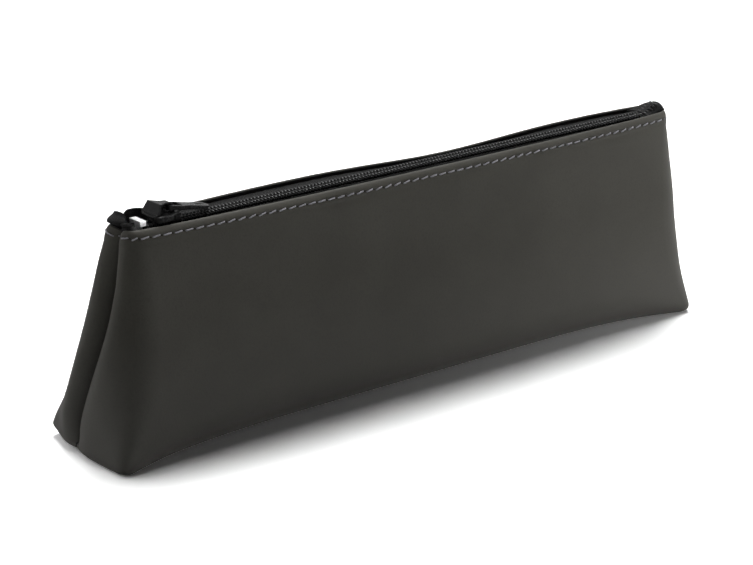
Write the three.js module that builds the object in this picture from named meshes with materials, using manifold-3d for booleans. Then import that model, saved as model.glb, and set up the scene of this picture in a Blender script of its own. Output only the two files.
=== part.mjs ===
// Triangle pencil case: two leatherette panels sewn into a case with triangular ends, and a coil zip on top.
// Millimetres. +X runs along the case, away from the zip's top stops, +Y to the back and +Z up.
// The origin lies on the floor, under the middle of the base.

import * as THREE from 'three';
import { mergeVertices } from 'three/addons/utils/BufferGeometryUtils.js';
import Module from 'manifold-3d';

const wasm = await Module();
wasm.setup();

// Leatherette case
const CASE_HEIGHT = 66.7; // floor to the lips of the mouth
const TOP_LENGTH = 205; // from end seam to end seam at the lips
const BASE_LENGTH = 222.8; // from end seam to end seam at their feet
const BASE_DEPTH = 41.6; // from the front corners to the back ones
const TOP_FORWARD = 10.2; // the mouth stands this far ahead of the middle of the base
const FRONT_BASE_POINT = 1.4; // an end seam stands out this far past the front corner at its foot
const BACK_BASE_POINT = 3.9; // and past the back corner
const END_LIFT = 2.7; // height of the foot of an end seam
const END_TOP_FRONT = 5.4; // from the end seam to the front corner at the top of an end face
const END_TOP_BACK = 7.6; // and to the back corner
const FRONT_TOP_POINT = 2.2; // the same at the top, in front
const BACK_TOP_POINT = 0.8; // and at the back
const FRONT_BOW = 4; // the front of the mouth bows out this far at mid length
const BACK_BOW = 4.9; // and the back of it
const FACE_BULGE = 0.5; // swell of the big faces half way up
const SHOULDER_HEIGHT = 4.5; // the part of a face that turns in to the lip
const SHOULDER_INSET = 2.2; // how far the lip stands in from the face
const SHOULDER_TURN = THREE.MathUtils.degToRad(65);
const END_INSET = 0.8; // the same turn on the end faces
const LEATHER = 1.1; // thickness of the leatherette
const FOLD_RADIUS = 14; // soft fold between face and base at mid length
const CORNER_RADIUS = 2.6; // edges round the boxed corners
const UPRIGHT_SOFTNESS = 7; // the upright corners are rounder by this half way up
const UPRIGHT_SWELL = 1.5; // and swell out by this
const EAR = 1; // the boxed corners stand out this far
const EAR_HEIGHT = 9.5; // and fade away over about this height
const EAR_FADE = 8; // power with which ears and swell fade along the case
const FOLD_FADE = 6; // power with which the soft fold tightens towards the corners
const ROUND_LIMIT = 0.7; // share of half an end face that a round corner may take
const END_REACH = 14; // the base seam starts this far in from the foot of an end seam
const FACE_REACH = 22; // the folds of a big face meet the base seam this far in from its corners
const SEAM_GAP = 0.3; // between the two panels along a seam
const FIT = 0.3; // between neighbouring pieces

// Sewing
const THREAD_RADIUS = 0.3;
const SEAM_END = 7.5; // an end seam's thread stops this far from the foot and from the mouth
const CORNER_THREAD = 0.8; // share of a boxed corner that its thread runs along

// Zip tapes and chain
const TAPE = 0.45; // thickness of a tape
const TAPE_DROP = 9; // how far a tape reaches down behind its panel
const TAPE_SETBACK = 4.5; // a tape stops this far short of the end seams
const TAPE_EDGE = 1; // from the middle of the chain to a tape's inner edge
const TAPE_RUN = 1.7; // a tape lies flat from this far inside its lip
const COIL_NEAR = 0.6; // from the middle of the chain to a coil
const COIL_WIDTH = 1.6;
const COIL_HEIGHT = 1.4;
const COIL_ROUND = 0.4;
const STOP_SETBACK = 1.3; // from the end of a tape to its stop
const STOP_WALL = 0.9; // thickness of a stop's legs
const STOP_REACH = 2.6; // from the middle of the chain to the tips of a stop
const STOP_WEB = 0.55; // thickness of the part of a stop that joins its legs
const TOP_STOP_LENGTH = 2;
const BOTTOM_STOP_LENGTH = 3;

// Slider
const OPEN_COIL = 1.7; // coil left open between the top stops and the resting slider
const SLIDER_LENGTH = 9.8;
const SLIDER_WIDTH = 9.2; // top plate at its wide end
const SLIDER_TAIL = 6.2; // both plates at the narrow end
const UNDER_WIDTH = 7.2; // bottom plate at its wide end
const TOP_PLATE = 1.9; // thickness
const UNDER_PLATE = 1.1; // thickness
const PLATE_BEVEL = 0.25;
const NOSE_ROUND = 1.5; // length of the round shoulders at the wide end
const TAIL_ROUND = 1; // and at the narrow end
const WAIST = 1.1; // half the length over which a plate narrows
const POST_WIDTH = 0.5;
const POST_LENGTH = 4;
const FLANGE = 0.6; // thickness of the walls that guide the chain
const FLANGE_LENGTH = 3.3;
const CAP_LENGTH = 7.6;
const CAP_WIDTH = 7.4; // at the front
const CAP_TAIL = 2.8; // where the pull hangs
const CAP_HEIGHT = 3;
const CAP_BRIDGE = 0.35; // wall of the cap over the pull's pin
const CAP_SEAT = 0.05; // between cap and top plate
const CAP_SLOPE = 1.8; // run of the sloping front of the cap
const CAP_DRAFT = 0.45; // each side of the cap draws in by this along the slope
const SPRING = 0.3; // thickness of the lock spring
const SPRING_WIDTH = 1.6;
const SPRING_LENGTH = 1.9;
const SPRING_ROOF = 0.6; // wall of the cap over the spring

// Pull tab
const PIVOT_BACK = 1.2; // the pull hangs this far behind the middle of the slider
const PIVOT_RISE = 1.35; // and this far above the top plate
const PIN_RADIUS = 0.5;
const TAB_LENGTH = 14; // from the pivot to the tip
const TAB_WIDTH = 4.8; // at the tip
const TAB_NECK = 4; // at its narrowest
const TAB_THICKNESS = 1.2;
const EYE_LENGTH = 4.4; // opening round the cap
const EYE_ARM = 0.9; // the arms beside the opening
const SLOT_LENGTH = 2.6; // small slot near the tip
const SLOT_WIDTH = 1.1;
const SLOT_SETBACK = 1.7; // from the slot to the tip

// Places that follow from the sizes above
const FACE_TOP = CASE_HEIGHT - SHOULDER_HEIGHT;
const CHAIN_Y = -TOP_FORWARD;
const TAPE_LENGTH = TOP_LENGTH - 2 * TAPE_SETBACK;
const TAPE_TOP = CASE_HEIGHT - LEATHER - FIT;
const COIL_BOTTOM = TAPE_TOP + FIT;
const COIL_TOP = COIL_BOTTOM + COIL_HEIGHT;
const COIL_START = -TAPE_LENGTH / 2 + STOP_SETBACK + TOP_STOP_LENGTH + FIT;
const COIL_END = TAPE_LENGTH / 2 - STOP_SETBACK - BOTTOM_STOP_LENGTH - FIT;
const CHANNEL_TOP = COIL_TOP + FIT;
const CHANNEL_BOTTOM = TAPE_TOP - TAPE - FIT;
const SLIDER_REST = COIL_START + OPEN_COIL + SLIDER_LENGTH / 2;
const PLATE_TOP = CHANNEL_TOP + TOP_PLATE;
const CAP_FRONT = -SLIDER_LENGTH / 2 + PLATE_BEVEL + FIT;
const EYE = PIN_RADIUS + FIT;
const SPRING_START = PIVOT_BACK - EYE - 3 * FIT - SPRING_LENGTH;
const INNER_THREAD = LEATHER + FIT + THREAD_RADIUS; // from the outside of a panel to a thread inside it

// Resolution of the sheets
const END_STEPS = 3;
const ROUND_STEPS = 4;
const FACE_STEPS = 10;
const SHOULDER_STEPS = 4;
const FACE_ROWS = 6;
const FOLD_STEPS = 4;
const BASE_STEPS = 2;
const TAPE_STEPS = 24;
const THREAD_STEPS = 12;
const STITCH_ROW = 2; // row of the shoulder that carries the topstitch
const STITCH_SKIP = 2; // columns without stitches beside an end seam

const { lerp } = THREE.MathUtils;
const vec2 = (x, y) => new THREE.Vector2(x, y);
const vec3 = (x, y, z) => new THREE.Vector3(x, y, z);

// Materials
const finish = (color, roughness, metalness = 0) =>
  new THREE.MeshStandardMaterial({ color, roughness, metalness });
const leatherette = finish(0x3c3a36, 0.55);
const zipFabric = finish(0x141416, 0.9);
const coilNylon = finish(0x1c1c1f, 0.4);
const blackEnamel = finish(0x1a1a1c, 0.35, 0.3);
const brightMetal = finish(0xd8d8da, 0.25, 1);
const springSteel = finish(0x8d8f92, 0.4, 1);
const lilacThread = finish(0x8a8694, 0.7);
const darkThread = finish(0x2b2a29, 0.8);

// Solids

function solidOf(geometry) {
  const bare = geometry.clone();
  bare.deleteAttribute('normal');
  bare.deleteAttribute('uv');
  const merged = mergeVertices(bare, 1e-4);
  return new wasm.Manifold(new wasm.Mesh({
    numProp: 3,
    vertProperties: merged.attributes.position.array,
    triVerts: new Uint32Array(merged.index.array),
  }));
}

function geometryOf(solid) {
  const { vertProperties, triVerts } = solid.getMesh();
  const geometry = new THREE.BufferGeometry();
  geometry.setAttribute('position', new THREE.BufferAttribute(vertProperties, 3));
  geometry.setIndex(new THREE.BufferAttribute(triVerts, 1));
  return geometry;
}

function signedVolume(points, faces) {
  const cross = vec3(0, 0, 0);
  const sixth = ([a, b, c]) => points[a].dot(cross.crossVectors(points[b], points[c])) / 6;
  return faces.reduce((sum, face) => sum + sixth(face), 0);
}

// Closed solid between two grids of points, the two sides of a bent sheet.
function sheetSolid(outside, inside) {
  const columns = outside.length;
  const rows = outside[0].length;
  const points = [...outside.flat(), ...inside.flat()];
  const out = (i, j) => i * rows + j;
  const back = (i, j) => columns * rows + out(i, j);
  const faces = [];
  const quad = (a, b, c, d) => faces.push([a, b, c], [a, c, d]);
  for (let i = 0; i + 1 < columns; i += 1) {
    for (let j = 0; j + 1 < rows; j += 1) {
      quad(out(i, j), out(i + 1, j), out(i + 1, j + 1), out(i, j + 1));
      quad(back(i, j), back(i, j + 1), back(i + 1, j + 1), back(i + 1, j));
    }
    quad(out(i + 1, 0), out(i, 0), back(i, 0), back(i + 1, 0));
    quad(out(i, rows - 1), out(i + 1, rows - 1), back(i + 1, rows - 1), back(i, rows - 1));
  }
  for (let j = 0; j + 1 < rows; j += 1) {
    quad(out(0, j), out(0, j + 1), back(0, j + 1), back(0, j));
    quad(out(columns - 1, j + 1), out(columns - 1, j), back(columns - 1, j), back(columns - 1, j + 1));
  }
  if (signedVolume(points, faces) < 0) faces.forEach((face) => face.reverse());
  const geometry = new THREE.BufferGeometry().setFromPoints(points);
  geometry.setIndex(faces.flat());
  return geometry;
}

// Round bar along a smooth path.
function threadAlong(path) {
  const section = new THREE.Shape().absarc(0, 0, THREAD_RADIUS, 0, 2 * Math.PI);
  const curve = new THREE.CatmullRomCurve3(path);
  return new THREE.ExtrudeGeometry(section, { steps: THREAD_STEPS, curveSegments: 3, extrudePath: curve });
}

// Closed outline in the plane across the chain, drawn out along X.
function alongX(outline, start, length) {
  const shape = new THREE.Shape(outline.map(([y, z]) => vec2(y, z)));
  const geometry = new THREE.ExtrudeGeometry(shape, { depth: length, bevelEnabled: false });
  geometry.applyMatrix4(new THREE.Matrix4().makeBasis(vec3(0, 1, 0), vec3(0, 0, 1), vec3(1, 0, 0)));
  return geometry.translate(start, 0, 0);
}

const box = (lx, ly, lz, x, y, z) => new THREE.BoxGeometry(lx, ly, lz).translate(x, y, z);

// Leatherette panels

// The middle plane of the case leans forward towards the mouth.
const leanAt = (z) => (-TOP_FORWARD * z) / CASE_HEIGHT;

// The plan of a quarter of the case at one height: x along the case, w out from the middle plane.
// side is -1 for the front panel and 1 for the back one.
function planAt(z, side) {
  const rise = z / FACE_TOP;
  const ear = EAR * Math.exp(-((z / EAR_HEIGHT) ** 2));
  const halfWay = Math.sin(Math.PI * rise);
  const out = ear + UPRIGHT_SWELL * halfWay;
  const topSeam = TOP_LENGTH / 2 + END_INSET;
  const basePoint = side < 0 ? FRONT_BASE_POINT : BACK_BASE_POINT;
  const topPoint = side < 0 ? FRONT_TOP_POINT : BACK_TOP_POINT;
  const topWidth = side < 0 ? END_TOP_FRONT : END_TOP_BACK;
  return {
    seam: vec2(lerp(BASE_LENGTH / 2, topSeam, rise), SEAM_GAP / 2),
    corner: vec2(
      lerp(BASE_LENGTH / 2 - basePoint - EAR, topSeam - topPoint, rise) + out,
      lerp(BASE_DEPTH / 2 - EAR, topWidth, rise) + out,
    ),
    out,
    bow: (side < 0 ? FRONT_BOW : BACK_BOW) * rise + FACE_BULGE * halfWay,
    radius: CORNER_RADIUS + UPRIGHT_SOFTNESS * halfWay,
  };
}

// Distance of a big face from the middle plane. What stands out at the corners fades along the face.
function faceWidth({ corner, out, bow }, x) {
  const share = Math.abs(x / corner.x);
  return corner.y - out * (1 - share ** EAR_FADE) + bow * Math.sqrt(1 - share ** 2);
}

// A column is one line down a panel. Its zone is the end face, the round corner or the big face.
function columnPoint({ zone, t, side }, z) {
  const plan = planAt(z, side);
  const towardsSeam = plan.seam.clone().sub(plan.corner);
  const radius = Math.min(plan.radius, ROUND_LIMIT * towardsSeam.length());
  const endStop = plan.corner.clone().addScaledVector(towardsSeam.normalize(), radius);
  if (zone === 'end') return plan.seam.clone().lerp(endStop, t);
  const faceStart = plan.corner.x - radius;
  if (zone === 'round') {
    const faceStop = vec2(faceStart, faceWidth(plan, faceStart));
    return new THREE.QuadraticBezierCurve(endStop, plan.corner, faceStop).getPoint(t);
  }
  const x = faceStart * faceShare(t);
  return vec2(x, faceWidth(plan, x));
}

// The turn to the lip goes along X on an end face and across the case on a big face.
function shoulderInset({ zone, t }) {
  const across = { end: 0, round: t, face: 1 }[zone];
  return vec2(lerp(END_INSET, 0, across), lerp(0, SHOULDER_INSET, across));
}

// Steps of that turn from the lip down: share of the inset, and height.
function shoulderSteps() {
  return Array.from({ length: SHOULDER_STEPS }, (_, i) => {
    const angle = SHOULDER_TURN * (1 - i / SHOULDER_STEPS);
    const turned = (1 - Math.cos(angle)) / (1 - Math.cos(SHOULDER_TURN));
    return { turned, z: FACE_TOP + (SHOULDER_HEIGHT * Math.sin(angle)) / Math.sin(SHOULDER_TURN) };
  });
}

const footHeight = ({ zone, t }) => (zone === 'end' ? END_LIFT * (1 - t) ** 2 : 0);

// The columns of a big face stand closer together towards its corners.
const faceShare = (t) => Math.cos((t * Math.PI) / 2);

// The fold to the base is soft at mid length and tight at the boxed corners.
function foldRadius({ zone, t }) {
  return zone === 'face' ? lerp(FOLD_RADIUS, CORNER_RADIUS, faceShare(t) ** FOLD_FADE) : CORNER_RADIUS;
}

// Each column ends on the seam along the base. Those of the ends fan out near the boxed corners.
function baseEnd({ zone, t }) {
  const first = BASE_LENGTH / 2 - END_REACH;
  const faceFirst = BASE_LENGTH / 2 - CORNER_RADIUS - FACE_REACH;
  const along = { end: t / 2, round: (1 + t) / 2, face: 1 }[zone];
  const turn = zone === 'face' ? faceShare(t) : 1;
  return vec3(lerp(first, faceFirst, along) * turn, SEAM_GAP / 2, 0);
}

// Points down a column from lip to base seam, as (x, w, z).
function columnPath(column) {
  const top = columnPoint(column, FACE_TOP);
  const inset = shoulderInset(column);
  const turn = ({ turned, z }) => vec3(top.x - turned * inset.x, top.y - turned * inset.y, z);
  const path = shoulderSteps().map(turn);
  const onFace = (z) => vec3(...columnPoint(column, z), z);
  const foot = footHeight(column);
  const radius = foldRadius(column);
  for (let i = 0; i < FACE_ROWS; i += 1) path.push(onFace(lerp(FACE_TOP, foot + radius, i / FACE_ROWS)));
  const edge = onFace(foot);
  const goal = baseEnd(column);
  const onBase = edge.clone().lerp(goal, radius / Math.max(edge.x - goal.x, edge.y - goal.y));
  const fold = new THREE.QuadraticBezierCurve3(onFace(foot + radius), edge, onBase);
  for (let i = 0; i <= FOLD_STEPS; i += 1) path.push(fold.getPoint(i / FOLD_STEPS));
  for (let i = 1; i <= BASE_STEPS; i += 1) path.push(onBase.clone().lerp(goal, i / BASE_STEPS));
  return path;
}

function halfColumns(side) {
  const columns = [];
  for (let i = 0; i <= END_STEPS; i += 1) columns.push({ side, zone: 'end', t: i / END_STEPS });
  for (let i = 1; i <= ROUND_STEPS; i += 1) columns.push({ side, zone: 'round', t: i / ROUND_STEPS });
  for (let i = 1; i <= FACE_STEPS; i += 1) columns.push({ side, zone: 'face', t: i / FACE_STEPS });
  return columns;
}

// Outside of a panel as a grid, from the left end seam to the right one.
function panelGrid(side) {
  const place = (mirror) => ({ x, y, z }) => vec3(mirror * x, leanAt(z) + side * y, z);
  const paths = halfColumns(side).map(columnPath);
  const left = paths.map((path) => path.map(place(-1)));
  const right = paths.map((path) => path.map(place(1))).reverse();
  return [...left, ...right.slice(1)];
}

// Outward directions on a grid. Along the seams they stay in the seam's plane, so that the panels butt.
function gridNormals(grid, side) {
  const columns = grid.length;
  const rows = grid[0].length;
  const at = (i, j) => grid[THREE.MathUtils.clamp(i, 0, columns - 1)][THREE.MathUtils.clamp(j, 0, rows - 1)];
  return grid.map((column, i) => column.map((point, j) => {
    const along = at(i + 1, j).clone().sub(at(i - 1, j));
    const down = at(i, j + 1).clone().sub(at(i, j - 1));
    const normal = along.cross(down).multiplyScalar(side);
    const onEndSeam = i === 0 || i === columns - 1;
    const onBaseSeam = j === rows - 1;
    if (onEndSeam && onBaseSeam) return vec3(0, 0, -1);
    if (onEndSeam || onBaseSeam) normal.y = 0;
    return normal.normalize();
  }));
}

function offsetGrid(grid, normals, distance) {
  const moved = (point, normal) => point.clone().addScaledVector(normal, distance);
  return grid.map((column, i) => column.map((point, j) => moved(point, normals[i][j])));
}

function panel(side) {
  const outside = panelGrid(side);
  return sheetSolid(outside, offsetGrid(outside, gridNormals(outside, side), -LEATHER));
}

// Threads

// One side of a thread that runs along a row of a panel, at a height above the outside of the leatherette.
function threadSide(side, row, lift) {
  const grid = panelGrid(side);
  const normals = gridNormals(grid, side);
  return grid.map((column, i) => {
    const across = column[row + 1].clone().sub(column[row - 1]).setLength(THREAD_RADIUS);
    const middle = column[row].clone().addScaledVector(normals[i][row], lift);
    return [middle.clone().sub(across), middle.add(across)];
  });
}

// The topstitch lies on the shoulder and stops short of the end seams.
function topstitch(side) {
  const strip = (lift) => threadSide(side, STITCH_ROW, lift).slice(STITCH_SKIP, -STITCH_SKIP);
  return sheetSolid(strip(FIT + 2 * THREAD_RADIUS), strip(FIT));
}

function endSeamThread(mirror) {
  const heights = [END_LIFT + SEAM_END, FACE_TOP / 2, FACE_TOP - SEAM_END];
  const path = heights.map((z) => vec3(mirror * (planAt(z, 1).seam.x - INNER_THREAD - FIT), leanAt(z), z));
  return threadAlong(path);
}

function bottomSeamThread() {
  const reach = BASE_LENGTH / 2 - END_REACH;
  const z = INNER_THREAD;
  return threadAlong([vec3(-reach, 0, z), vec3(0, 0, z), vec3(reach, 0, z)]);
}

// Thread of a boxed corner: along the inside of the fold between an end face and the base.
function cornerSeamThread(mirror) {
  const inset = INNER_THREAD + FIT;
  const place = (side, t) => {
    const column = { side, zone: 'end', t };
    const foot = footHeight(column);
    const z = foot + inset;
    const { x, y } = columnPoint(column, z);
    return vec3(mirror * (x - inset), leanAt(z) + side * y, z);
  };
  const half = (side) => [place(side, CORNER_THREAD), place(side, CORNER_THREAD / 2)];
  return threadAlong([...half(-1), place(1, 0), ...half(1).reverse()]);
}

// Zip

// Points of a panel's outside across the case at x, from behind the lip down, in the plane of Y and Z.
function sectionAt(x, side) {
  const top = faceWidth(planAt(FACE_TOP, side), x);
  const turn = ({ turned, z }) => vec2(leanAt(z) + side * (top - turned * SHOULDER_INSET), z);
  const points = shoulderSteps().map(turn);
  for (const z of [FACE_TOP, CASE_HEIGHT - TAPE_DROP]) {
    points.push(vec2(leanAt(z) + side * faceWidth(planAt(z, side), x), z));
  }
  return points;
}

// A line moved sideways, towards the inside of the case.
function insetLine(points, side, distance) {
  return points.map((point, i) => {
    const before = points[Math.max(i - 1, 0)];
    const after = points[Math.min(i + 1, points.length - 1)];
    const along = after.clone().sub(before).normalize();
    return point.clone().add(vec2(along.y, -along.x).multiplyScalar(side * distance));
  });
}

// A tape hangs behind its panel, turns over under the lip and lies flat up to the chain.
function tape(side) {
  const layer = (depth, x) => {
    const section = sectionAt(x, side);
    const lip = section[0];
    const flat = [TAPE_EDGE, Math.max(TAPE_EDGE + FIT, side * (lip.x - CHAIN_Y) - TAPE_RUN)];
    const run = flat.map((w) => vec3(x, CHAIN_Y + side * w, TAPE_TOP - depth));
    const hang = insetLine(section, side, LEATHER + FIT + depth).map(({ x: y, y: z }) => vec3(x, y, z));
    return [...run, ...hang];
  };
  const stations = Array.from({ length: TAPE_STEPS + 1 }, (_, i) => TAPE_LENGTH * (i / TAPE_STEPS - 0.5));
  return sheetSolid(stations.map((x) => layer(0, x)), stations.map((x) => layer(TAPE, x)));
}

// Half of the chain, a bar with a rounded top. The turns of the coil are too fine for this solid.
function coil(side) {
  const near = CHAIN_Y + side * COIL_NEAR;
  const far = near + side * COIL_WIDTH;
  const outline = [
    [near, COIL_BOTTOM],
    [far, COIL_BOTTOM],
    [far, COIL_TOP - COIL_ROUND],
    [far - side * COIL_ROUND, COIL_TOP],
    [near + side * COIL_ROUND, COIL_TOP],
    [near, COIL_TOP - COIL_ROUND],
  ];
  return alongX(side > 0 ? outline : outline.reverse(), COIL_START, COIL_END - COIL_START);
}

// Clip round the edge of one tape: a web with a leg over and a leg under the tape.
function topStop(side) {
  const y = (w) => CHAIN_Y + side * w;
  const low = TAPE_TOP - TAPE - FIT;
  const high = TAPE_TOP + FIT;
  const inner = SEAM_GAP / 2;
  const outline = [
    [y(inner), low - STOP_WALL],
    [y(STOP_REACH), low - STOP_WALL],
    [y(STOP_REACH), low],
    [y(inner + STOP_WEB), low],
    [y(inner + STOP_WEB), high],
    [y(STOP_REACH), high],
    [y(STOP_REACH), high + STOP_WALL],
    [y(inner), high + STOP_WALL],
  ];
  const start = COIL_START - FIT - TOP_STOP_LENGTH;
  return alongX(side > 0 ? outline : outline.reverse(), start, TOP_STOP_LENGTH);
}

// Clip that holds both tapes together at the closed end of the zip.
function bottomStop() {
  const start = COIL_END + FIT;
  const middle = start + BOTTOM_STOP_LENGTH / 2;
  const low = TAPE_TOP - TAPE - FIT - STOP_WALL / 2;
  const high = TAPE_TOP + FIT + STOP_WALL / 2;
  const plate = (z) => solidOf(box(BOTTOM_STOP_LENGTH, 2 * STOP_REACH, STOP_WALL, middle, CHAIN_Y, z));
  const web = solidOf(box(BOTTOM_STOP_LENGTH, 2 * STOP_WEB, high - low, middle, CHAIN_Y, (low + high) / 2));
  return geometryOf(plate(low).add(plate(high)).add(web));
}

// Slider

// Plan of a slider plate: wide towards the top stops, narrow at the tail, with round shoulders.
function plateShape(width, margin) {
  const nose = -SLIDER_LENGTH / 2 + margin;
  const tail = SLIDER_LENGTH / 2 - margin;
  const wide = width / 2 - margin;
  const narrow = SLIDER_TAIL / 2 - margin;
  const shape = new THREE.Shape();
  shape.moveTo(nose, 0);
  shape.quadraticCurveTo(nose, -wide, nose + NOSE_ROUND, -wide);
  shape.lineTo(-WAIST, -wide);
  shape.quadraticCurveTo(WAIST, -wide, 2 * WAIST, -narrow);
  shape.lineTo(tail - TAIL_ROUND, -narrow);
  shape.quadraticCurveTo(tail, -narrow, tail, 0);
  shape.quadraticCurveTo(tail, narrow, tail - TAIL_ROUND, narrow);
  shape.lineTo(2 * WAIST, narrow);
  shape.quadraticCurveTo(WAIST, wide, -WAIST, wide);
  shape.lineTo(nose + NOSE_ROUND, wide);
  shape.quadraticCurveTo(nose, wide, nose, 0);
  return shape;
}

function plate(width, thickness, bottom) {
  const geometry = new THREE.ExtrudeGeometry(plateShape(width, PLATE_BEVEL), {
    depth: thickness - 2 * PLATE_BEVEL,
    bevelThickness: PLATE_BEVEL,
    bevelSize: PLATE_BEVEL,
    bevelSegments: 1,
    curveSegments: 4,
  });
  return solidOf(geometry.translate(SLIDER_REST, CHAIN_Y, bottom + PLATE_BEVEL));
}

// Two plates joined by the post that parts the coils, with a guide wall on each side of the chain.
function sliderBody() {
  const upper = plate(SLIDER_WIDTH, TOP_PLATE, CHANNEL_TOP);
  const under = plate(UNDER_WIDTH, UNDER_PLATE, CHANNEL_BOTTOM - UNDER_PLATE);
  const sunk = Math.min(TOP_PLATE, UNDER_PLATE) / 2;
  const postTop = CHANNEL_TOP + sunk;
  const postHeight = postTop - CHANNEL_BOTTOM + sunk;
  const postX = SLIDER_REST - SLIDER_LENGTH / 2 + PLATE_BEVEL + POST_LENGTH / 2;
  const post = box(POST_LENGTH, POST_WIDTH, postHeight, postX, CHAIN_Y, postTop - postHeight / 2);
  const wallFoot = TAPE_TOP + FIT;
  const wallHeight = postTop - wallFoot;
  const wallX = SLIDER_REST + SLIDER_LENGTH / 4;
  const wallY = COIL_NEAR + COIL_WIDTH + FIT + FLANGE / 2;
  const wall = (side) => solidOf(
    box(FLANGE_LENGTH, FLANGE, wallHeight, wallX, CHAIN_Y + side * wallY, wallFoot + wallHeight / 2),
  );
  return geometryOf(upper.add(under).add(solidOf(post)).add(wall(-1)).add(wall(1)));
}

// Outline in X and Z, drawn out across the chain by a width.
function acrossChain(outline, width) {
  const shape = new THREE.Shape(outline.map(([x, z]) => vec2(x, z)));
  const geometry = new THREE.ExtrudeGeometry(shape, { depth: width, bevelEnabled: false });
  geometry.translate(0, 0, -width / 2).rotateX(Math.PI / 2);
  return geometry.translate(SLIDER_REST, CHAIN_Y, PLATE_TOP);
}

// Cover on the top plate: a sloping front, a bridge for the pull and a hollow for the lock spring.
function sliderCap() {
  const rear = CAP_FRONT + CAP_LENGTH;
  const slopeEnd = CAP_FRONT + CAP_SLOPE;
  const profile = acrossChain([
    [CAP_FRONT, CAP_SEAT],
    [rear, CAP_SEAT],
    [rear, PIVOT_RISE],
    [PIVOT_BACK + EYE, PIVOT_RISE + EYE + CAP_BRIDGE],
    [slopeEnd, CAP_HEIGHT],
  ], CAP_WIDTH);
  const narrowStart = PIVOT_BACK - EYE - PIN_RADIUS;
  const half = [
    [CAP_FRONT, CAP_WIDTH / 2],
    [slopeEnd, CAP_WIDTH / 2 - CAP_DRAFT],
    [narrowStart, CAP_TAIL / 2],
    [rear, CAP_TAIL / 2],
  ];
  const otherHalf = half.map(([x, y]) => [x, -y]);
  const plan = new THREE.Shape([...otherHalf, ...half.reverse()].map(([x, y]) => vec2(x, y)));
  const planBar = new THREE.ExtrudeGeometry(plan, { depth: 2 * CAP_HEIGHT, bevelEnabled: false });
  planBar.translate(SLIDER_REST, CHAIN_Y, PLATE_TOP - CAP_HEIGHT / 2);
  const pivotX = SLIDER_REST + PIVOT_BACK;
  const eyeBar = box(2 * EYE, 2 * CAP_WIDTH, 2 * EYE, pivotX, CHAIN_Y, PLATE_TOP + PIVOT_RISE);
  const hollowX = SLIDER_REST + SPRING_START + SPRING_LENGTH / 2;
  const hollowZ = PLATE_TOP + CAP_HEIGHT / 2 - SPRING_ROOF;
  const hollow = box(SPRING_LENGTH + 2 * FIT, SPRING_WIDTH + 2 * FIT, CAP_HEIGHT, hollowX, CHAIN_Y, hollowZ);
  const whole = solidOf(profile).intersect(solidOf(planBar));
  return geometryOf(whole.subtract(solidOf(eyeBar)).subtract(solidOf(hollow)));
}

// Bent strip that stands on the top plate inside the cap.
function lockSpring() {
  const start = SPRING_START;
  const end = start + SPRING_LENGTH;
  const top = CAP_HEIGHT - SPRING_ROOF - FIT;
  return acrossChain([
    [start, CAP_SEAT],
    [end, CAP_SEAT],
    [end, CAP_SEAT + SPRING],
    [start + SPRING, CAP_SEAT + SPRING],
    [start + SPRING, top - SPRING],
    [end, top - SPRING],
    [end, top],
    [start, top],
  ], SPRING_WIDTH);
}

// Pull tab, drawn with its pivot at the origin and its tip along +X.
function pullTab() {
  const eyeHalf = CAP_TAIL / 2 + FIT;
  const head = eyeHalf + EYE_ARM;
  const tip = TAB_WIDTH / 2;
  const neck = TAB_NECK / 2;
  const neckX = EYE_LENGTH + 2 * EYE_ARM;
  const outline = new THREE.Shape();
  outline.moveTo(-PIN_RADIUS, -head);
  outline.lineTo(EYE_LENGTH, -head);
  outline.quadraticCurveTo(neckX, -neck, TAB_LENGTH / 2, -neck);
  outline.quadraticCurveTo(TAB_LENGTH - 2 * tip, -neck, TAB_LENGTH - tip, -tip);
  outline.absarc(TAB_LENGTH - tip, 0, tip, -Math.PI / 2, Math.PI / 2);
  outline.quadraticCurveTo(TAB_LENGTH - 2 * tip, neck, TAB_LENGTH / 2, neck);
  outline.quadraticCurveTo(neckX, neck, EYE_LENGTH, head);
  outline.lineTo(-PIN_RADIUS, head);
  const eye = new THREE.Path([
    vec2(PIN_RADIUS, -eyeHalf),
    vec2(PIN_RADIUS, eyeHalf),
    vec2(EYE_LENGTH, eyeHalf),
    vec2(EYE_LENGTH, -eyeHalf),
  ]);
  const slotEnd = TAB_LENGTH - SLOT_SETBACK - SLOT_WIDTH / 2;
  const slotStart = slotEnd - SLOT_LENGTH + SLOT_WIDTH;
  const slot = new THREE.Path();
  slot.absarc(slotEnd, 0, SLOT_WIDTH / 2, -Math.PI / 2, Math.PI / 2);
  slot.absarc(slotStart, 0, SLOT_WIDTH / 2, Math.PI / 2, 1.5 * Math.PI);
  outline.holes.push(eye, slot);
  const settings = { depth: TAB_THICKNESS, bevelEnabled: false, curveSegments: 6 };
  return new THREE.ExtrudeGeometry(outline, settings).translate(0, 0, -TAB_THICKNESS / 2);
}

// At rest the pull slopes down until its tip lies on the chain.
function pullSlope() {
  const drop = PLATE_TOP + PIVOT_RISE - TAB_THICKNESS / 2 - CHANNEL_TOP;
  return Math.asin(drop / TAB_LENGTH);
}

// Assembly
const pencilCase = new THREE.Group();

function addPiece(name, geometry, material) {
  const mesh = new THREE.Mesh(geometry, material);
  mesh.name = name;
  pencilCase.add(mesh);
  return mesh;
}

for (const [word, side] of [['front', -1], ['back', 1]]) {
  addPiece(`${word}_panel`, panel(side), leatherette);
  addPiece(`${word}_topstitch`, topstitch(side), lilacThread);
  addPiece(`${word}_zip_tape`, tape(side), zipFabric);
  addPiece(`${word}_coil`, coil(side), coilNylon);
  addPiece(`${word}_top_stop`, topStop(side), brightMetal);
}

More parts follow.
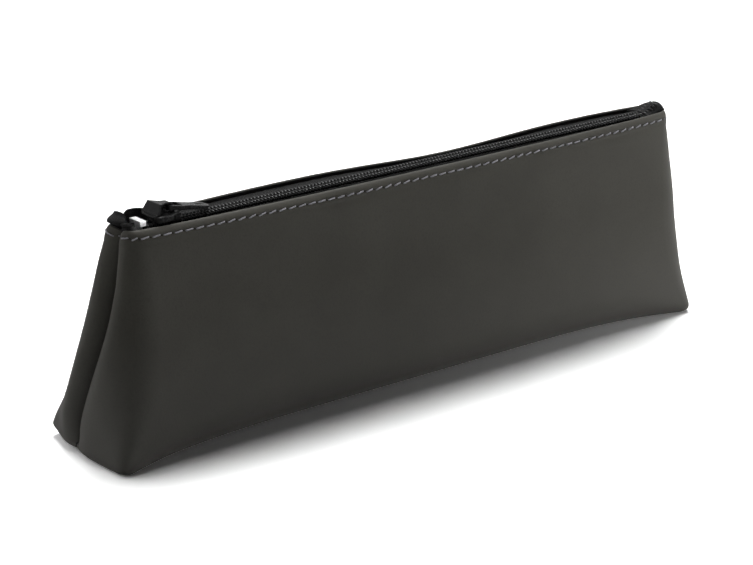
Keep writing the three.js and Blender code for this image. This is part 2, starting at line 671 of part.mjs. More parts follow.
for (const [word, mirror] of [['left', -1], ['right', 1]]) {
  addPiece(`${word}_end_seam_thread`, endSeamThread(mirror), darkThread);
  addPiece(`${word}_corner_seam_thread`, cornerSeamThread(mirror), darkThread);
}

addPiece('bottom_seam_thread', bottomSeamThread(), darkThread);
addPiece('bottom_stop', bottomStop(), brightMetal);
addPiece('slider_body', sliderBody(), blackEnamel);
addPiece('slider_cap', sliderCap(), blackEnamel);
addPiece('lock_spring', lockSpring(), springSteel);

const pull = addPiece('pull_tab', pullTab(), blackEnamel);
pull.position.set(SLIDER_REST + PIVOT_BACK, CHAIN_Y, PLATE_TOP + PIVOT_RISE);
pull.rotation.y = pullSlope();

export default pencilCase;
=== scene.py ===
# %% [markdown]
# A triangle pencil case: two sheets of leatherette are sewn into a soft body with triangular ends,
# and a fine coil zip closes the mouth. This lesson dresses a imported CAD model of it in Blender.
# The CAD solids stay as they are for the motion. Each new piece is made in the same place,
# rides on a CAD body and hides the plain solid that it stands for.

# %% Load the frame
import math

import bmesh
import bpy
import numpy as np
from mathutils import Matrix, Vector, noise


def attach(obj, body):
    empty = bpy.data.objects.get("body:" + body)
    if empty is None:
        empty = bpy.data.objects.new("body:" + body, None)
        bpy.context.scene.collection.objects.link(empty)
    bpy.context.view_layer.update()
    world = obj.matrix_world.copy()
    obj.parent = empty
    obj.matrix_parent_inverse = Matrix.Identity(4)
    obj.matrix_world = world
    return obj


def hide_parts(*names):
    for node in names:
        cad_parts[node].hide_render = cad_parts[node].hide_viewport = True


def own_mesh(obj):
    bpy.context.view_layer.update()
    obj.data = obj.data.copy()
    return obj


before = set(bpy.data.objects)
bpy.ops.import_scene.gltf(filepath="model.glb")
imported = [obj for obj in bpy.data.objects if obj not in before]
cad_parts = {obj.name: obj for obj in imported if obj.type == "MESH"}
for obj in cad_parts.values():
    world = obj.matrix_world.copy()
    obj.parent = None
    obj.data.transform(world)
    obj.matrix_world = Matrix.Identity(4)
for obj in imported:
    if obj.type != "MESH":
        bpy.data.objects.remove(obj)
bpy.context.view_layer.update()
MM = 0.001

# %% [markdown]
# The camera comes first, because every later choice is looked at through it. The case was seen from
# the front left and a little above, from well away, so a long lens stands far back. Its angles, its
# distance and its lens were found by fitting the corners of the case.

# %% Camera
IMAGE_WIDTH = 753
SENSOR_WIDTH = 36.0
FOCAL_PIXELS = 2485.29
CAMERA_AZIMUTH = math.radians(-39.05)
CAMERA_ELEVATION = math.radians(18.62)
CAMERA_DISTANCE = 741.32
CAMERA_TARGET = Vector((-4.91, 0, 28.64))
CLIP_START = 0.01


def add_object(name, data):
    thing = bpy.data.objects.new(name, data)
    bpy.context.scene.collection.objects.link(thing)
    return thing


outwards = Vector((
    math.sin(CAMERA_AZIMUTH) * math.cos(CAMERA_ELEVATION),
    -math.cos(CAMERA_AZIMUTH) * math.cos(CAMERA_ELEVATION),
    math.sin(CAMERA_ELEVATION),
))
camera_data = bpy.data.cameras.new("photo_camera")
camera_data.sensor_width = SENSOR_WIDTH
camera_data.sensor_fit = "HORIZONTAL"
camera_data.lens = FOCAL_PIXELS * SENSOR_WIDTH / IMAGE_WIDTH
camera_data.clip_start = CLIP_START
camera = add_object("photo_camera", camera_data)
camera.location = (CAMERA_TARGET + outwards * CAMERA_DISTANCE) * MM
camera.rotation_euler = outwards.to_track_quat("Z", "Y").to_euler()
bpy.context.scene.camera = camera
print("lens", round(camera_data.lens, 2), "mm")

# %% [markdown]
# A material is a graph of nodes. Small helpers keep the graphs short: one adds a node and feeds its
# sockets, one makes a new material with its Principled shader. Numbers that hold all over a surface
# are set on the shader itself, and only what varies is linked.

# %% Helpers for node graphs
def feed(tree, socket, value):
    """Links another node's output to a socket, or sets the socket to a plain value."""
    if isinstance(value, bpy.types.NodeSocket):
        tree.links.new(value, socket)
    else:
        socket.default_value = value


def add_node(tree, kind, inputs=None, **settings):
    node = tree.nodes.new(kind)
    for name, value in settings.items():
        setattr(node, name, value)
    for name, value in (inputs or {}).items():
        feed(tree, node.inputs[name], value)
    return node


def new_material(name, **constants):
    material = bpy.data.materials.new(name)
    material.use_nodes = True
    tree = material.node_tree
    shader = tree.nodes["Principled BSDF"]
    for socket, value in constants.items():
        shader.inputs[socket.replace("_", " ")].default_value = value
    return material, tree, shader


def grey(value, warm=0.0):
    return (value * (1 + warm), value, value * (1 - warm), 1)


def blend_colours(tree, factor, first, second):
    colours = {0: factor, 6: first, 7: second}
    return add_node(tree, "ShaderNodeMix", colours, data_type="RGBA").outputs[2]


def spread(tree, value, low, high, to_low=0.0, to_high=1.0):
    limits = {"From Min": low, "From Max": high, "To Min": to_low, "To Max": to_high}
    return add_node(tree, "ShaderNodeMapRange", {"Value": value, **limits}).outputs["Result"]


def combine(tree, first, second, operation="ADD"):
    return add_node(tree, "ShaderNodeMath", {0: first, 1: second}, operation=operation).outputs[0]


def relief(tree, height, shader, depth, strength):
    bump = add_node(tree, "ShaderNodeBump", {"Height": height, "Distance": depth, "Strength": strength})
    tree.links.new(bump.outputs["Normal"], shader.inputs["Normal"])


print("node helpers ready")

# %% [markdown]
# The stage is a white floor under a studio sky, as on a product table. A softbox stands above, a
# little behind and to the right, so the shadow stays close and falls forward. A low glow from the
# front right and a small strip lamp near the right end make the front face brighter from left to
# right. A weak fill from the back left lights the left end. Reflections see a plain dim sky instead of
# the fill, so that black enamel stays black. What the camera sees of the floor is a brighter white than
# what lights the case, so the background goes white while the shadow stays. The floor lies a hair
# under the base, so that the two never flicker through each other.

# %% Floor
FLOOR_HALF = 6.0
FLOOR_LEVEL = -0.00005
FLOOR_LIT = 0.26
FLOOR_MIRRORED = 0.2
FLOOR_SEEN = 1.25


def ray_kinds(tree):
    """Whether a ray comes off a mirror or through glass, and whether it comes from the camera."""
    ray = add_node(tree, "ShaderNodeLightPath").outputs
    mirrored = combine(tree, ray["Is Glossy Ray"], ray["Is Transmission Ray"], "MAXIMUM")
    return mirrored, ray["Is Camera Ray"]


floor_mesh = bpy.data.meshes.new("floor")
floor_corners = [(x * FLOOR_HALF, y * FLOOR_HALF, FLOOR_LEVEL)
                 for x, y in ((-1, -1), (1, -1), (1, 1), (-1, 1))]
floor_mesh.from_pydata(floor_corners, [], [(0, 1, 2, 3)])
floor = add_object("floor", floor_mesh)

floor_material, floor_tree, shader = new_material("white_floor")
floor_tree.nodes.remove(shader)
mirrored, seen = ray_kinds(floor_tree)
floor_colour = blend_colours(floor_tree, mirrored, grey(FLOOR_LIT), grey(FLOOR_MIRRORED))
floor_colour = blend_colours(floor_tree, seen, floor_colour, grey(FLOOR_SEEN))
floor_shader = add_node(floor_tree, "ShaderNodeBsdfDiffuse", {"Color": floor_colour})
floor_output = floor_tree.nodes["Material Output"]
floor_tree.links.new(floor_shader.outputs[0], floor_output.inputs["Surface"])
floor_mesh.materials.append(floor_material)
print("floor", 2 * FLOOR_HALF, "m wide")

# %% Sky and lamp
SKY_LOW = 0.01
SKY_SEEN = 0.5
SOFTBOX_LEVEL = 25.0
SOFTBOX_EDGE = 0.955
SOFTBOX_CORE = 0.993
SOFTBOX_MIDDLE = (0.27, 0.25, 0.93)
GLOW_LEVEL = 28.0
GLOW_HEIGHT = 0.045
GLOW_SIDE = (0.8, -0.6, 0.0)
GLOW_EDGE = 0.2
FILL_LEVEL = 2.3
FILL_EDGE = 0.5
FILL_SIDE = (-0.55, 0.78, 0.3)

world = bpy.data.worlds.new("studio_sky")
world.use_nodes = True
bpy.context.scene.world = world
sky = world.node_tree
sky_direction = add_node(sky, "ShaderNodeTexCoord").outputs["Generated"]


def along_sky(direction):
    node = add_node(sky, "ShaderNodeVectorMath", {0: sky_direction, 1: direction}, operation="DOT_PRODUCT")
    return node.outputs["Value"]


softbox = spread(sky, along_sky(SOFTBOX_MIDDLE), SOFTBOX_EDGE, SOFTBOX_CORE, 0.0, SOFTBOX_LEVEL)
near_horizon = spread(sky, along_sky((0, 0, 1)), 0.0, GLOW_HEIGHT, GLOW_LEVEL, 0.0)
to_front = spread(sky, along_sky(GLOW_SIDE), GLOW_EDGE, 1.0)
glow = combine(sky, near_horizon, to_front, "MULTIPLY")
fill = spread(sky, along_sky(FILL_SIDE), FILL_EDGE, 1.0, SKY_LOW, FILL_LEVEL)
sky_background = sky.nodes["Background"]
sky_background.inputs["Color"].default_value = (1, 1, 1, 1)
sky_seen = combine(sky, *ray_kinds(sky), "MAXIMUM")
sky_level = combine(sky, combine(sky, softbox, glow), spread(sky, sky_seen, 0, 1, fill, SKY_SEEN))
sky.links.new(sky_level, sky_background.inputs["Strength"])

LAMP_PLACE = Vector((0.2, -0.12, 0.014))
LAMP_AIM = Vector((0.09, -0.02, 0.012))
LAMP_WATTS = 0.22
LAMP_LONG = 0.16
LAMP_TALL = 0.024
lamp_data = bpy.data.lights.new("right_lamp", "AREA")
lamp_data.shape = "RECTANGLE"
lamp_data.size = LAMP_LONG
lamp_data.size_y = LAMP_TALL
lamp_data.energy = LAMP_WATTS
lamp = add_object("right_lamp", lamp_data)
lamp.location = LAMP_PLACE
lamp.rotation_euler = (LAMP_PLACE - LAMP_AIM).to_track_quat("Z", "Y").to_euler()
lamp.visible_camera = False
lamp.visible_glossy = False
bpy.context.scene.view_settings.view_transform = "Standard"
print("softbox", SOFTBOX_LEVEL, "glow", GLOW_LEVEL, "and a lamp of", LAMP_WATTS, "W")

# %% [markdown]
# Each piece becomes a mesh object that rides on one CAD body and stands for one or more CAD solids.
# Two helpers do this for all pieces. Points are written in millimetres, as on a drawing, and turned
# into metres here. A grid of texture coordinates, also in millimetres, lets a weave follow the cloth.
# All faces are turned outwards here, so the code that lists them need not care which way they look.

# %% Helpers that make a piece
def seat(name, mesh, body, nodes):
    """Puts a finished mesh into the scene as a piece on a CAD body."""
    mesh.polygons.foreach_set("use_smooth", [True] * len(mesh.polygons))
    piece = add_object(name, mesh)
    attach(piece, body)
    if nodes:
        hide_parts(*nodes)
    print(name, len(mesh.vertices), "points", len(mesh.polygons), "faces")
    return piece


def make_piece(name, shape, materials, nodes, uv=None, indices=None):
    """Makes a piece of the case's own body from its points and faces."""
    points, faces = shape
    mesh = bpy.data.meshes.new(name)
    mesh.from_pydata((np.asarray(points) * MM).tolist(), [], faces)
    for material in materials:
        mesh.materials.append(material)
    if indices is not None:
        mesh.polygons.foreach_set("material_index", indices)
    if uv is not None:
        loops = np.empty(len(mesh.loops), dtype=np.int32)
        mesh.loops.foreach_get("vertex_index", loops)
        layer = mesh.uv_layers.new(name="cloth_mm")
        layer.data.foreach_set("uv", np.asarray(uv, dtype=np.float32)[loops].ravel())
    shell = bmesh.new()
    shell.from_mesh(mesh)
    bmesh.ops.recalc_face_normals(shell, faces=shell.faces)
    print(sum(not edge.is_manifold for edge in shell.edges), "open edges in", name)
    shell.to_mesh(mesh)
    shell.free()
    return seat(name, mesh, "case", nodes)


# %% Helpers for faces and lines
def strip(one, other):
    """Faces between two rows of points that run side by side."""
    return list(zip(one[:-1], other[:-1], other[1:], one[1:]))


def grid_faces(grid):
    """Faces of a grid of point numbers, columns by rows."""
    return [face for one, other in zip(grid[:-1], grid[1:]) for face in strip(one, other)]


def run_length(line):
    """How far each point of a line lies along it."""
    return np.concatenate([[0], np.cumsum(np.linalg.norm(np.diff(line, axis=0), axis=1))])


def unit(vectors):
    return vectors / np.maximum(np.linalg.norm(vectors, axis=-1, keepdims=True), 1e-9)


def along_line(line, run, places):
    return np.stack([np.interp(places, run, line[:, a]) for a in range(line.shape[1])], axis=1)


def between(a, b, t):
    return a + (b - a) * t


def bent(a, b, c, t):
    """A bend that leaves a towards b and comes to c."""
    return (1 - t) ** 2 * a + 2 * t * (1 - t) * b + t ** 2 * c


def bell(distance, width):
    return np.exp(-(distance / width) ** 2)


def smooth(t):
    t = np.clip(t, 0, 1)
    return t * t * (3 - 2 * t)


print("half way up a smooth step:", smooth(0.5))

# %% [markdown]
# The leatherette body is drawn from the same sizes as the CAD solid, only finer. A panel is a fan of
# columns that run from the lip down the face, round the fold and along the base to the bottom seam.
# Columns belong to the end face, to the round upright corner or to the big face. Formulas keep the
# shape exactly where the CAD has it, which a copied and subdivided mesh would not.

# %% Sizes of the leatherette body
CASE_HEIGHT = 66.7
TOP_LENGTH = 205.0
BASE_LENGTH = 222.8
BASE_DEPTH = 41.6
TOP_FORWARD = 10.2
BASE_POINT = {-1: 1.4, 1: 3.9}
TOP_POINT = {-1: 2.2, 1: 0.8}
END_TOP = {-1: 5.4, 1: 7.6}
BOW = {-1: 4.0, 1: 4.9}
END_LIFT = 2.7
SKIN_LIFT = 1.4
FACE_BULGE = 0.5
SHOULDER_HEIGHT = 4.5
SHOULDER_INSET = 2.2
SHOULDER_TURN = math.radians(65)
END_INSET = 0.8
LEATHER = 1.1
FOLD_RADIUS = 14.0
CORNER_RADIUS = 2.6
SEAM_FOLD = 2.0
UPRIGHT_SOFTNESS = 7.0
UPRIGHT_SWELL = 1.5
EAR = 1.0
EAR_HEIGHT = 9.5
EAR_FADE = 8
FOLD_FADE = 6
ROUND_LIMIT = 0.7
END_REACH = 14.0
FACE_REACH = 22.0
SEAM_GAP = 0.3
FACE_TOP = CASE_HEIGHT - SHOULDER_HEIGHT
FRONT, BACK = -1, 1
SIDES = (("front", FRONT), ("back", BACK))
END, ROUND, FACE = 0, 1, 2


def lean_at(z):
    return -TOP_FORWARD * z / CASE_HEIGHT


print("case", BASE_LENGTH, "x", BASE_DEPTH, "x", CASE_HEIGHT, "mm")

# %% Plan of the case at one height
def plan_at(z, side):
    rise = z / FACE_TOP
    half_way = np.sin(np.pi * rise)
    out = EAR * np.exp(-(z / EAR_HEIGHT) ** 2) + UPRIGHT_SWELL * half_way
    top_seam = TOP_LENGTH / 2 + END_INSET
    corner_x = between(BASE_LENGTH / 2 - BASE_POINT[side] - EAR, top_seam - TOP_POINT[side], rise) + out
    corner_w = between(BASE_DEPTH / 2 - EAR, END_TOP[side], rise) + out
    return {
        "seam": between(BASE_LENGTH / 2, top_seam, rise),
        "corner_x": corner_x,
        "corner_w": corner_w,
        "out": out,
        "bow": BOW[side] * rise + FACE_BULGE * half_way,
        "radius": CORNER_RADIUS + UPRIGHT_SOFTNESS * half_way,
    }


def face_width(plan, x):
    share = np.clip(np.abs(x / plan["corner_x"]), 0, 1)
    faded = plan["out"] * (1 - share ** EAR_FADE)
    return plan["corner_w"] - faded + plan["bow"] * np.sqrt(1 - share ** 2)


def by_zone(zone, on_end, on_round, on_face):
    return np.select([zone == END, zone == ROUND], [on_end, on_round], on_face)


def column_point(zone, t, z, side):
    """(x, w) of columns at height z. On a big face t is the share of its length."""
    plan = plan_at(z, side)
    corner_x, corner_w = plan["corner_x"], plan["corner_w"]
    to_seam_x, to_seam_w = plan["seam"] - corner_x, SEAM_GAP / 2 - corner_w
    length = np.hypot(to_seam_x, to_seam_w)
    radius = np.minimum(plan["radius"], ROUND_LIMIT * length)
    stop_x = corner_x + to_seam_x / length * radius
    stop_w = corner_w + to_seam_w / length * radius
    start_x = corner_x - radius
    start_w = face_width(plan, start_x)
    end = between(plan["seam"], stop_x, t), between(SEAM_GAP / 2, stop_w, t)
    bend = bent(stop_x, corner_x, start_x, t), bent(stop_w, corner_w, start_w, t)
    face = start_x * t, face_width(plan, start_x * t)
    return tuple(by_zone(zone, *places) for places in zip(end, bend, face))


print("half length of the case at the base seam", round(float(plan_at(0.0, FRONT)["seam"]), 2))

# %% Columns and rows of a panel
STITCHES_PER_HALF = 29
COLUMNS_PER_STITCH = 8
END_COLUMNS = 16
END_CROWDING = 1.6
ROUND_COLUMNS = 14
SHOULDER_ROWS = 16
FACE_ROWS = 26
FOLD_ROWS = 14
BASE_ROWS = 12


def half_columns():
    """Zone and t of the columns from an end seam to mid length."""
    end_t = np.linspace(0, 1, END_COLUMNS + 1) ** END_CROWDING
    round_t = np.linspace(0, 1, ROUND_COLUMNS + 1)[1:]
    face_t = np.linspace(1, 0, STITCHES_PER_HALF * COLUMNS_PER_STITCH + 1)[1:]
    zones = np.repeat([END, ROUND, FACE], [len(end_t), len(round_t), len(face_t)])
    return zones[:, None], np.concatenate([end_t, round_t, face_t])[:, None]


def shoulder_curve(steps):
    """From the lip down over the shoulder: the share of its inset, and the height above the face."""
    angle = SHOULDER_TURN * (1 - np.arange(steps) / steps)
    turned = (1 - np.cos(angle)) / (1 - math.cos(SHOULDER_TURN))
    return turned, SHOULDER_HEIGHT * np.sin(angle) / math.sin(SHOULDER_TURN)


def panel_half(side):
    """x, w and z of half a panel, columns by rows, from the lip to the base seam."""
    zone, t = half_columns()
    across = by_zone(zone, 0 * t, t, 1)
    turned, above = shoulder_curve(SHOULDER_ROWS)
    top_x, top_w = column_point(zone, t, np.full_like(t, FACE_TOP), side)
    shoulder_x = top_x - turned * END_INSET * (1 - across)
    shoulder_w = top_w - turned * SHOULDER_INSET * across
    shoulder_z = FACE_TOP + above + 0 * t
    foot = np.where(zone == END, SKIN_LIFT * (1 - t) ** 2, 0)
    fold = by_zone(zone, between(SEAM_FOLD, CORNER_RADIUS, t ** 2), CORNER_RADIUS + 0 * t,
                   between(FOLD_RADIUS, CORNER_RADIUS, t ** FOLD_FADE))
    face_z = between(FACE_TOP, foot + fold, np.arange(FACE_ROWS)[None, :] / FACE_ROWS)
    face_x, face_w = column_point(zone, t, face_z, side)
    edge_x, edge_w = column_point(zone, t, foot, side)
    start_x, start_w = column_point(zone, t, foot + fold, side)
    first = BASE_LENGTH / 2 - END_REACH
    face_first = BASE_LENGTH / 2 - CORNER_RADIUS - FACE_REACH
    along = by_zone(zone, t / 2, (1 + t) / 2, 1)
    goal_x = between(first, face_first, along) * np.where(zone == FACE, t, 1)
    goal_w = np.full_like(t, SEAM_GAP / 2)
    reach = fold / np.maximum(edge_x - goal_x, edge_w - goal_w)
    base_x = between(edge_x, goal_x, reach)
    base_w = between(edge_w, goal_w, reach)
    base_z = foot * (1 - reach)
    s = np.linspace(0, 1, FOLD_ROWS + 1)[None, :]
    bend = [bent(start_x, edge_x, base_x, s), bent(start_w, edge_w, base_w, s),
            bent(foot + fold, foot, base_z, s)]
    run = (1 - np.linspace(1, 0, BASE_ROWS + 1)[1:] ** 2)[None, :]
    flat = [between(base_x, goal_x, run), between(base_w, goal_w, run), base_z * (1 - run)]
    blocks = zip((shoulder_x, shoulder_w, shoulder_z), (face_x, face_w, face_z), bend, flat)
    return tuple(np.concatenate(block, axis=1) for block in blocks)


def both_halves(left, sign=1, right=None):
    """Left half from the seam to the middle, then the right half back to its seam."""
    right = left if right is None else right
    return np.concatenate([sign * left, right[::-1][1:]], axis=0)


half_x, half_w, half_z = panel_half(FRONT)
print("a panel has", 2 * half_x.shape[0] - 1, "columns and", half_x.shape[1], "rows")

# %% [markdown]
# Sewn leatherette is never as plain as its pattern. The two panels roll into the end seams and into
# the bottom seam, so a dark groove runs between two round lobes. The left seam drifts to the back near
# the floor, and the corner behind it curls up a little. A topstitch pulls a shallow ditch into the
# skin, with a dimple at each needle hole. The back lip sags. All of this is done by moving the grid's
# points, most of it along their normals.

# %% Normals of a grid
def grid_normals(points, side):
    along = np.gradient(points, axis=0)
    down = np.gradient(points, axis=1)
    return unit(np.cross(along, down) * side)


def flatten_seam_normals(normals):
    """Along the end seams a normal stays in the seam's plane, and on the base it looks down."""
    normals[[0, -1], :, 1] = 0
    normals[:, -BASE_ROWS:] = (0, 0, -1)
    return unit(normals)


half_normals = grid_normals(np.stack([half_x, half_w, half_z], axis=2), FRONT)
print("under the shoulder, at mid length, the normal is", half_normals[-1, SHOULDER_ROWS].round(2))

# %% Rolls and corners of the end seams
ROLL_WIDTH = 7.0
ROLL_DEPTH = 5.4
ROLL_SHARE = 0.8
ROLL_RISE = 14.0
BASE_ROLL = 0.2
FOOT_ROLL = 0.5
CORNER_SOFT = 4.5
RIGHT_SOFT = 1.5
CORNER_FULL = 20.0
CORNER_SPREAD = 15.0
CORNER_FOOT = 3.0
CORNER_RISE = 16.0
SOFT_LIMIT = 0.4


def seam_roll(w, z, side):
    """How far the skin has turned in at a distance from the seam's plane. Under the base it is less."""
    limit = np.minimum(ROLL_WIDTH, ROLL_SHARE * plan_at(np.minimum(z, FACE_TOP), side)["corner_w"])
    share = np.clip((w - SEAM_GAP / 2) / limit, 0, 1)
    row = np.arange(w.shape[1])[None, :]
    under = smooth((row - SHOULDER_ROWS - FACE_ROWS) / FOLD_ROWS)
    shallow = between(FOOT_ROLL, 1, smooth(z / ROLL_RISE))
    depth = ROLL_DEPTH * limit / ROLL_WIDTH * shallow * between(1, BASE_ROLL, under)
    return depth * (1 - np.sqrt(1 - (1 - share) ** 2))


def soften_corners(x, w, z, softness):
    """Gives the upright corners a wide round: a place takes the mean of its neighbours along the row."""
    steps = np.sqrt(np.diff(x, axis=0) ** 2 + np.diff(w, axis=0) ** 2 + np.diff(z, axis=0) ** 2)
    run = np.concatenate([np.zeros((1, x.shape[1])), np.cumsum(steps, axis=0)])
    corner = run[END_COLUMNS + ROUND_COLUMNS // 2]
    share = np.gradient(run, axis=0)
    soft = [np.array(a) for a in (x, w, z)]
    for j in range(x.shape[1]):
        s = run[:, j]
        above_floor = smooth((z[END_COLUMNS, j] - CORNER_FOOT) / CORNER_RISE)
        size = softness * min(1.0, corner[j] / CORNER_FULL) * above_floor
        reach = np.minimum(size * bell(s - corner[j], CORNER_SPREAD), SOFT_LIMIT * s)
        weight = np.exp(-0.5 * ((s[:, None] - s[None, :]) / np.maximum(reach, 1e-3)[:, None]) ** 2)
        weight *= share[:, j][None, :]
        weight /= weight.sum(axis=1, keepdims=True)
        for out, a in zip(soft, (x, w, z)):
            out[:, j] = weight @ a[:, j]
    return soft


print("the end seam rolls in by up to", seam_roll(half_w, half_z, FRONT).max().round(2), "mm")

# %% Drift of the left seam and the curled corner behind it
SEAM_DRIFT = 5.6
DRIFT_TOP = 46.0
DRIFT_SLOPE = 1.2
DRIFT_FOOT = 0.55
DRIFT_RISE = 12.0
DRIFT_REACH = 32.0
DRIFT_FADE = 16.0
FOOT_LIFT = 2.3
CURL_REACH = 30.0
CURL_FADE = 22.0
CURL_HEIGHT = 26.0


def near_left(x, reach, fade):
    return smooth((-x - BASE_LENGTH / 2 + reach) / fade)


def seam_drift(x, w, z, side):
    """The left end seam was sewn a little off the middle, so it runs to the back near the floor."""
    width = plan_at(np.minimum(z, FACE_TOP), side)["corner_w"]
    lower = smooth((DRIFT_TOP - z) / DRIFT_TOP * DRIFT_SLOPE)
    drift = SEAM_DRIFT * lower * between(DRIFT_FOOT, 1, smooth(z / DRIFT_RISE))
    return drift * smooth(1 - w / width) * near_left(x, DRIFT_REACH, DRIFT_FADE)


def foot_lift(x, w, z, side):
    """The back corner at the left end curls up a little from the table."""
    if side == FRONT:
        return 0 * z
    to_corner = np.clip(2 * w / BASE_DEPTH, 0, 1)
    return FOOT_LIFT * near_left(x, CURL_REACH, CURL_FADE) * to_corner * (1 - smooth(z / CURL_HEIGHT))


print("the left seam drifts by up to", seam_drift(-half_x, half_w, half_z, FRONT).max().round(2), "mm")

# %% Sag, soft waves and the ditch of the topstitch
LOBE = 0.6
LOBE_WIDTH = 14.0
LOBE_FOOT = 10.0
LOBE_TOP = 12.0
END_FADE = 0.7
STITCH_ROW = 8
STITCH_SHARE = 0.8
DITCH_DEPTH = 0.2
DITCH_ROWS = 1.3
HOLE_DEPTH = 0.28
HOLE_WIDTH = 0.12
SAG = 2.0
SAG_MIDDLE = 20.0
SAG_REACH = 34.0
SAG_FOOT = 40.0
WAVE = 0.25
WAVE_LENGTH = 46.0
WAVE_SEED = 3.0
WAVE_FOOT = 12.0
WAVE_TOP = 8.0


def hole_share(columns):
    """1 at the needle holes between two stitches, at the same columns all along the row."""
    phase = ((np.arange(columns) - (columns - 1) // 2) / COLUMNS_PER_STITCH) % 1
    middle = (1 + STITCH_SHARE) / 2
    return bell(phase - middle, HOLE_WIDTH)[:, None]


def sag_at(x, z):
    return SAG * bell(x - SAG_MIDDLE, SAG_REACH) * smooth((z - SAG_FOOT) / (CASE_HEIGHT - SAG_FOOT))


def soft_waves(points, seed):
    values = [noise.noise(Vector(p) / WAVE_LENGTH + Vector((seed, 0, 0))) for p in points.reshape(-1, 3)]
    return WAVE * np.array(values).reshape(points.shape[:2])


def away_from_edges(z, foot, top):
    return smooth(z / foot) * smooth((CASE_HEIGHT - z) / top)


def panel_skin(side):
    """Outside of a panel, with its inward normals."""
    left, right = [soften_corners(*panel_half(side), softness) for softness in (CORNER_SOFT, RIGHT_SOFT)]
    roll = both_halves(seam_roll(*left[1:], side), 1, seam_roll(*right[1:], side))
    x, w, z = [both_halves(a, sign, b) for a, sign, b in zip(left, (-1, 1, 1), right)]
    y = lean_at(z) + side * w + seam_drift(x, w, z, side)
    points = np.stack([x, y, z + foot_lift(x, w, z, side)], axis=2)
    normals = flatten_seam_normals(grid_normals(points, side))
    columns, rows = x.shape
    row = np.arange(rows)[None, :]
    zone, t = half_columns()
    on_end = both_halves(by_zone(zone, 1 + 0 * t, 1 - smooth(t / END_FADE), 0))
    across_lobe = np.sin(np.pi * np.clip(w / LOBE_WIDTH, 0, 1))
    lobe = LOBE * on_end * across_lobe * away_from_edges(z, LOBE_FOOT, LOBE_TOP)
    ditch = bell(row - STITCH_ROW, DITCH_ROWS) * (DITCH_DEPTH + HOLE_DEPTH * hole_share(columns))
    waves = soft_waves(points, WAVE_SEED + side) * away_from_edges(z, WAVE_FOOT, WAVE_TOP) * (1 - on_end)
    points = points + normals * (waves + lobe - roll - ditch)[..., None]
    if side == BACK:
        points[..., 2] -= sag_at(points[..., 0], points[..., 2])
    return points, -normals


skin, inward = panel_skin(FRONT)
print("front skin spans", skin.min(axis=(0, 1)).round(1), "to", skin.max(axis=(0, 1)).round(1))

# %% [markdown]
# A panel is a closed sheet: the outside skin, the fabric backing on its inside, a rounded cut edge at
# the lip, and a seam allowance that is turned into the case along every seam. The allowance is short
# at the boxed corners and at the lips, where the real one is cut away.

# %% Skin, backing and lip of a panel
RIM_ROWS = 6
RIM_SKIN_ROWS = 3
SKIN, CLOTH = 0, 1


def seam_line(columns, rows):
    """Grid places along the seams: down the left end, along the base, up the right end."""
    down, along = np.arange(rows), np.arange(1, columns - 1)
    return (np.concatenate([0 * down, along, 0 * down + columns - 1]),
            np.concatenate([down, 0 * along + rows - 1, down[::-1]]))


def panel_sheet(side):
    skin, inward = panel_skin(side)
    columns, rows = skin.shape[:2]
    line = seam_line(columns, rows)
    normals = grid_normals(skin, side)
    normals[line] = (0, -side, 0)
    backing = skin - LEATHER * normals
    grid = np.arange(columns * rows).reshape(columns, rows)
    points = [skin.reshape(-1, 3), backing.reshape(-1, 3)]
    faces = {SKIN: grid_faces(grid), CLOTH: grid_faces(grid + grid.size)}
    middle = (skin[:, 0] + backing[:, 0]) / 2
    over = unit(skin[:, 0] - skin[:, 1]) * LEATHER / 2
    rim = [grid[:, 0]]
    for k in range(1, RIM_ROWS):
        turn = math.pi * k / RIM_ROWS
        points.append(middle + (skin[:, 0] - middle) * math.cos(turn) + over * math.sin(turn))
        rim.append(2 * grid.size + (k - 1) * columns + np.arange(columns))
    rim.append(grid[:, 0] + grid.size)
    for k in range(RIM_ROWS):
        faces[SKIN if k < RIM_SKIN_ROWS else CLOTH] += strip(rim[k], rim[k + 1])
    faces[CLOTH] += [tuple(row[end] for row in rim) for end in (0, -1)]
    edges = grid[line], grid[line] + grid.size
    return {"skin": skin, "backing": backing, "outer": skin[line], "inner": backing[line],
            "inward": inward[line], "points": points, "faces": faces, "edges": edges}


print("the seams of a panel run through", len(seam_line(*skin.shape[:2])[0]), "places")

# %% Seam allowance of a panel
ALLOWANCE = 4.5
ALLOWANCE_LEAST = 0.25
ALLOWANCE_ROWS = 3
CORNER_BARE = 2.0
LIP_BARE = 5.0
CORNER_CUT = 9.0


def allowance_length(outer):
    """How far the edge is turned in at each place along the seams."""
    run = run_length(outer)
    fold = SHOULDER_ROWS + FACE_ROWS + FOLD_ROWS // 2
    to_corner = np.minimum(np.abs(run - run[fold]), np.abs(run - run[-1 - fold]))
    to_lip = np.minimum(run, run[-1] - run)
    kept = smooth((to_corner - CORNER_BARE) / CORNER_CUT) * smooth((to_lip - LIP_BARE) / CORNER_CUT)
    return ALLOWANCE_LEAST + (ALLOWANCE - ALLOWANCE_LEAST) * kept


def add_allowance(sheet):
    """Turns the sheet's seam edges into the case and closes them."""
    points, faces, edges = sheet["points"], sheet["faces"], sheet["edges"]
    length = allowance_length(sheet["outer"])
    total = sum(len(block) for block in points)
    places = np.arange(len(length))
    for k in range(1, ALLOWANCE_ROWS + 1):
        shift = sheet["inward"] * (length * k / ALLOWANCE_ROWS)[:, None]
        points += [sheet["outer"] + shift, sheet["inner"] + shift]
        turned = total + places, total + len(places) + places
        total += 2 * len(places)
        faces[SKIN] += strip(edges[0], turned[0])
        faces[CLOTH] += strip(edges[1], turned[1])
        faces[CLOTH] += [(edges[0][end], edges[1][end], turned[1][end], turned[0][end]) for end in (0, -1)]
        edges = turned
    faces[CLOTH] += strip(*edges)


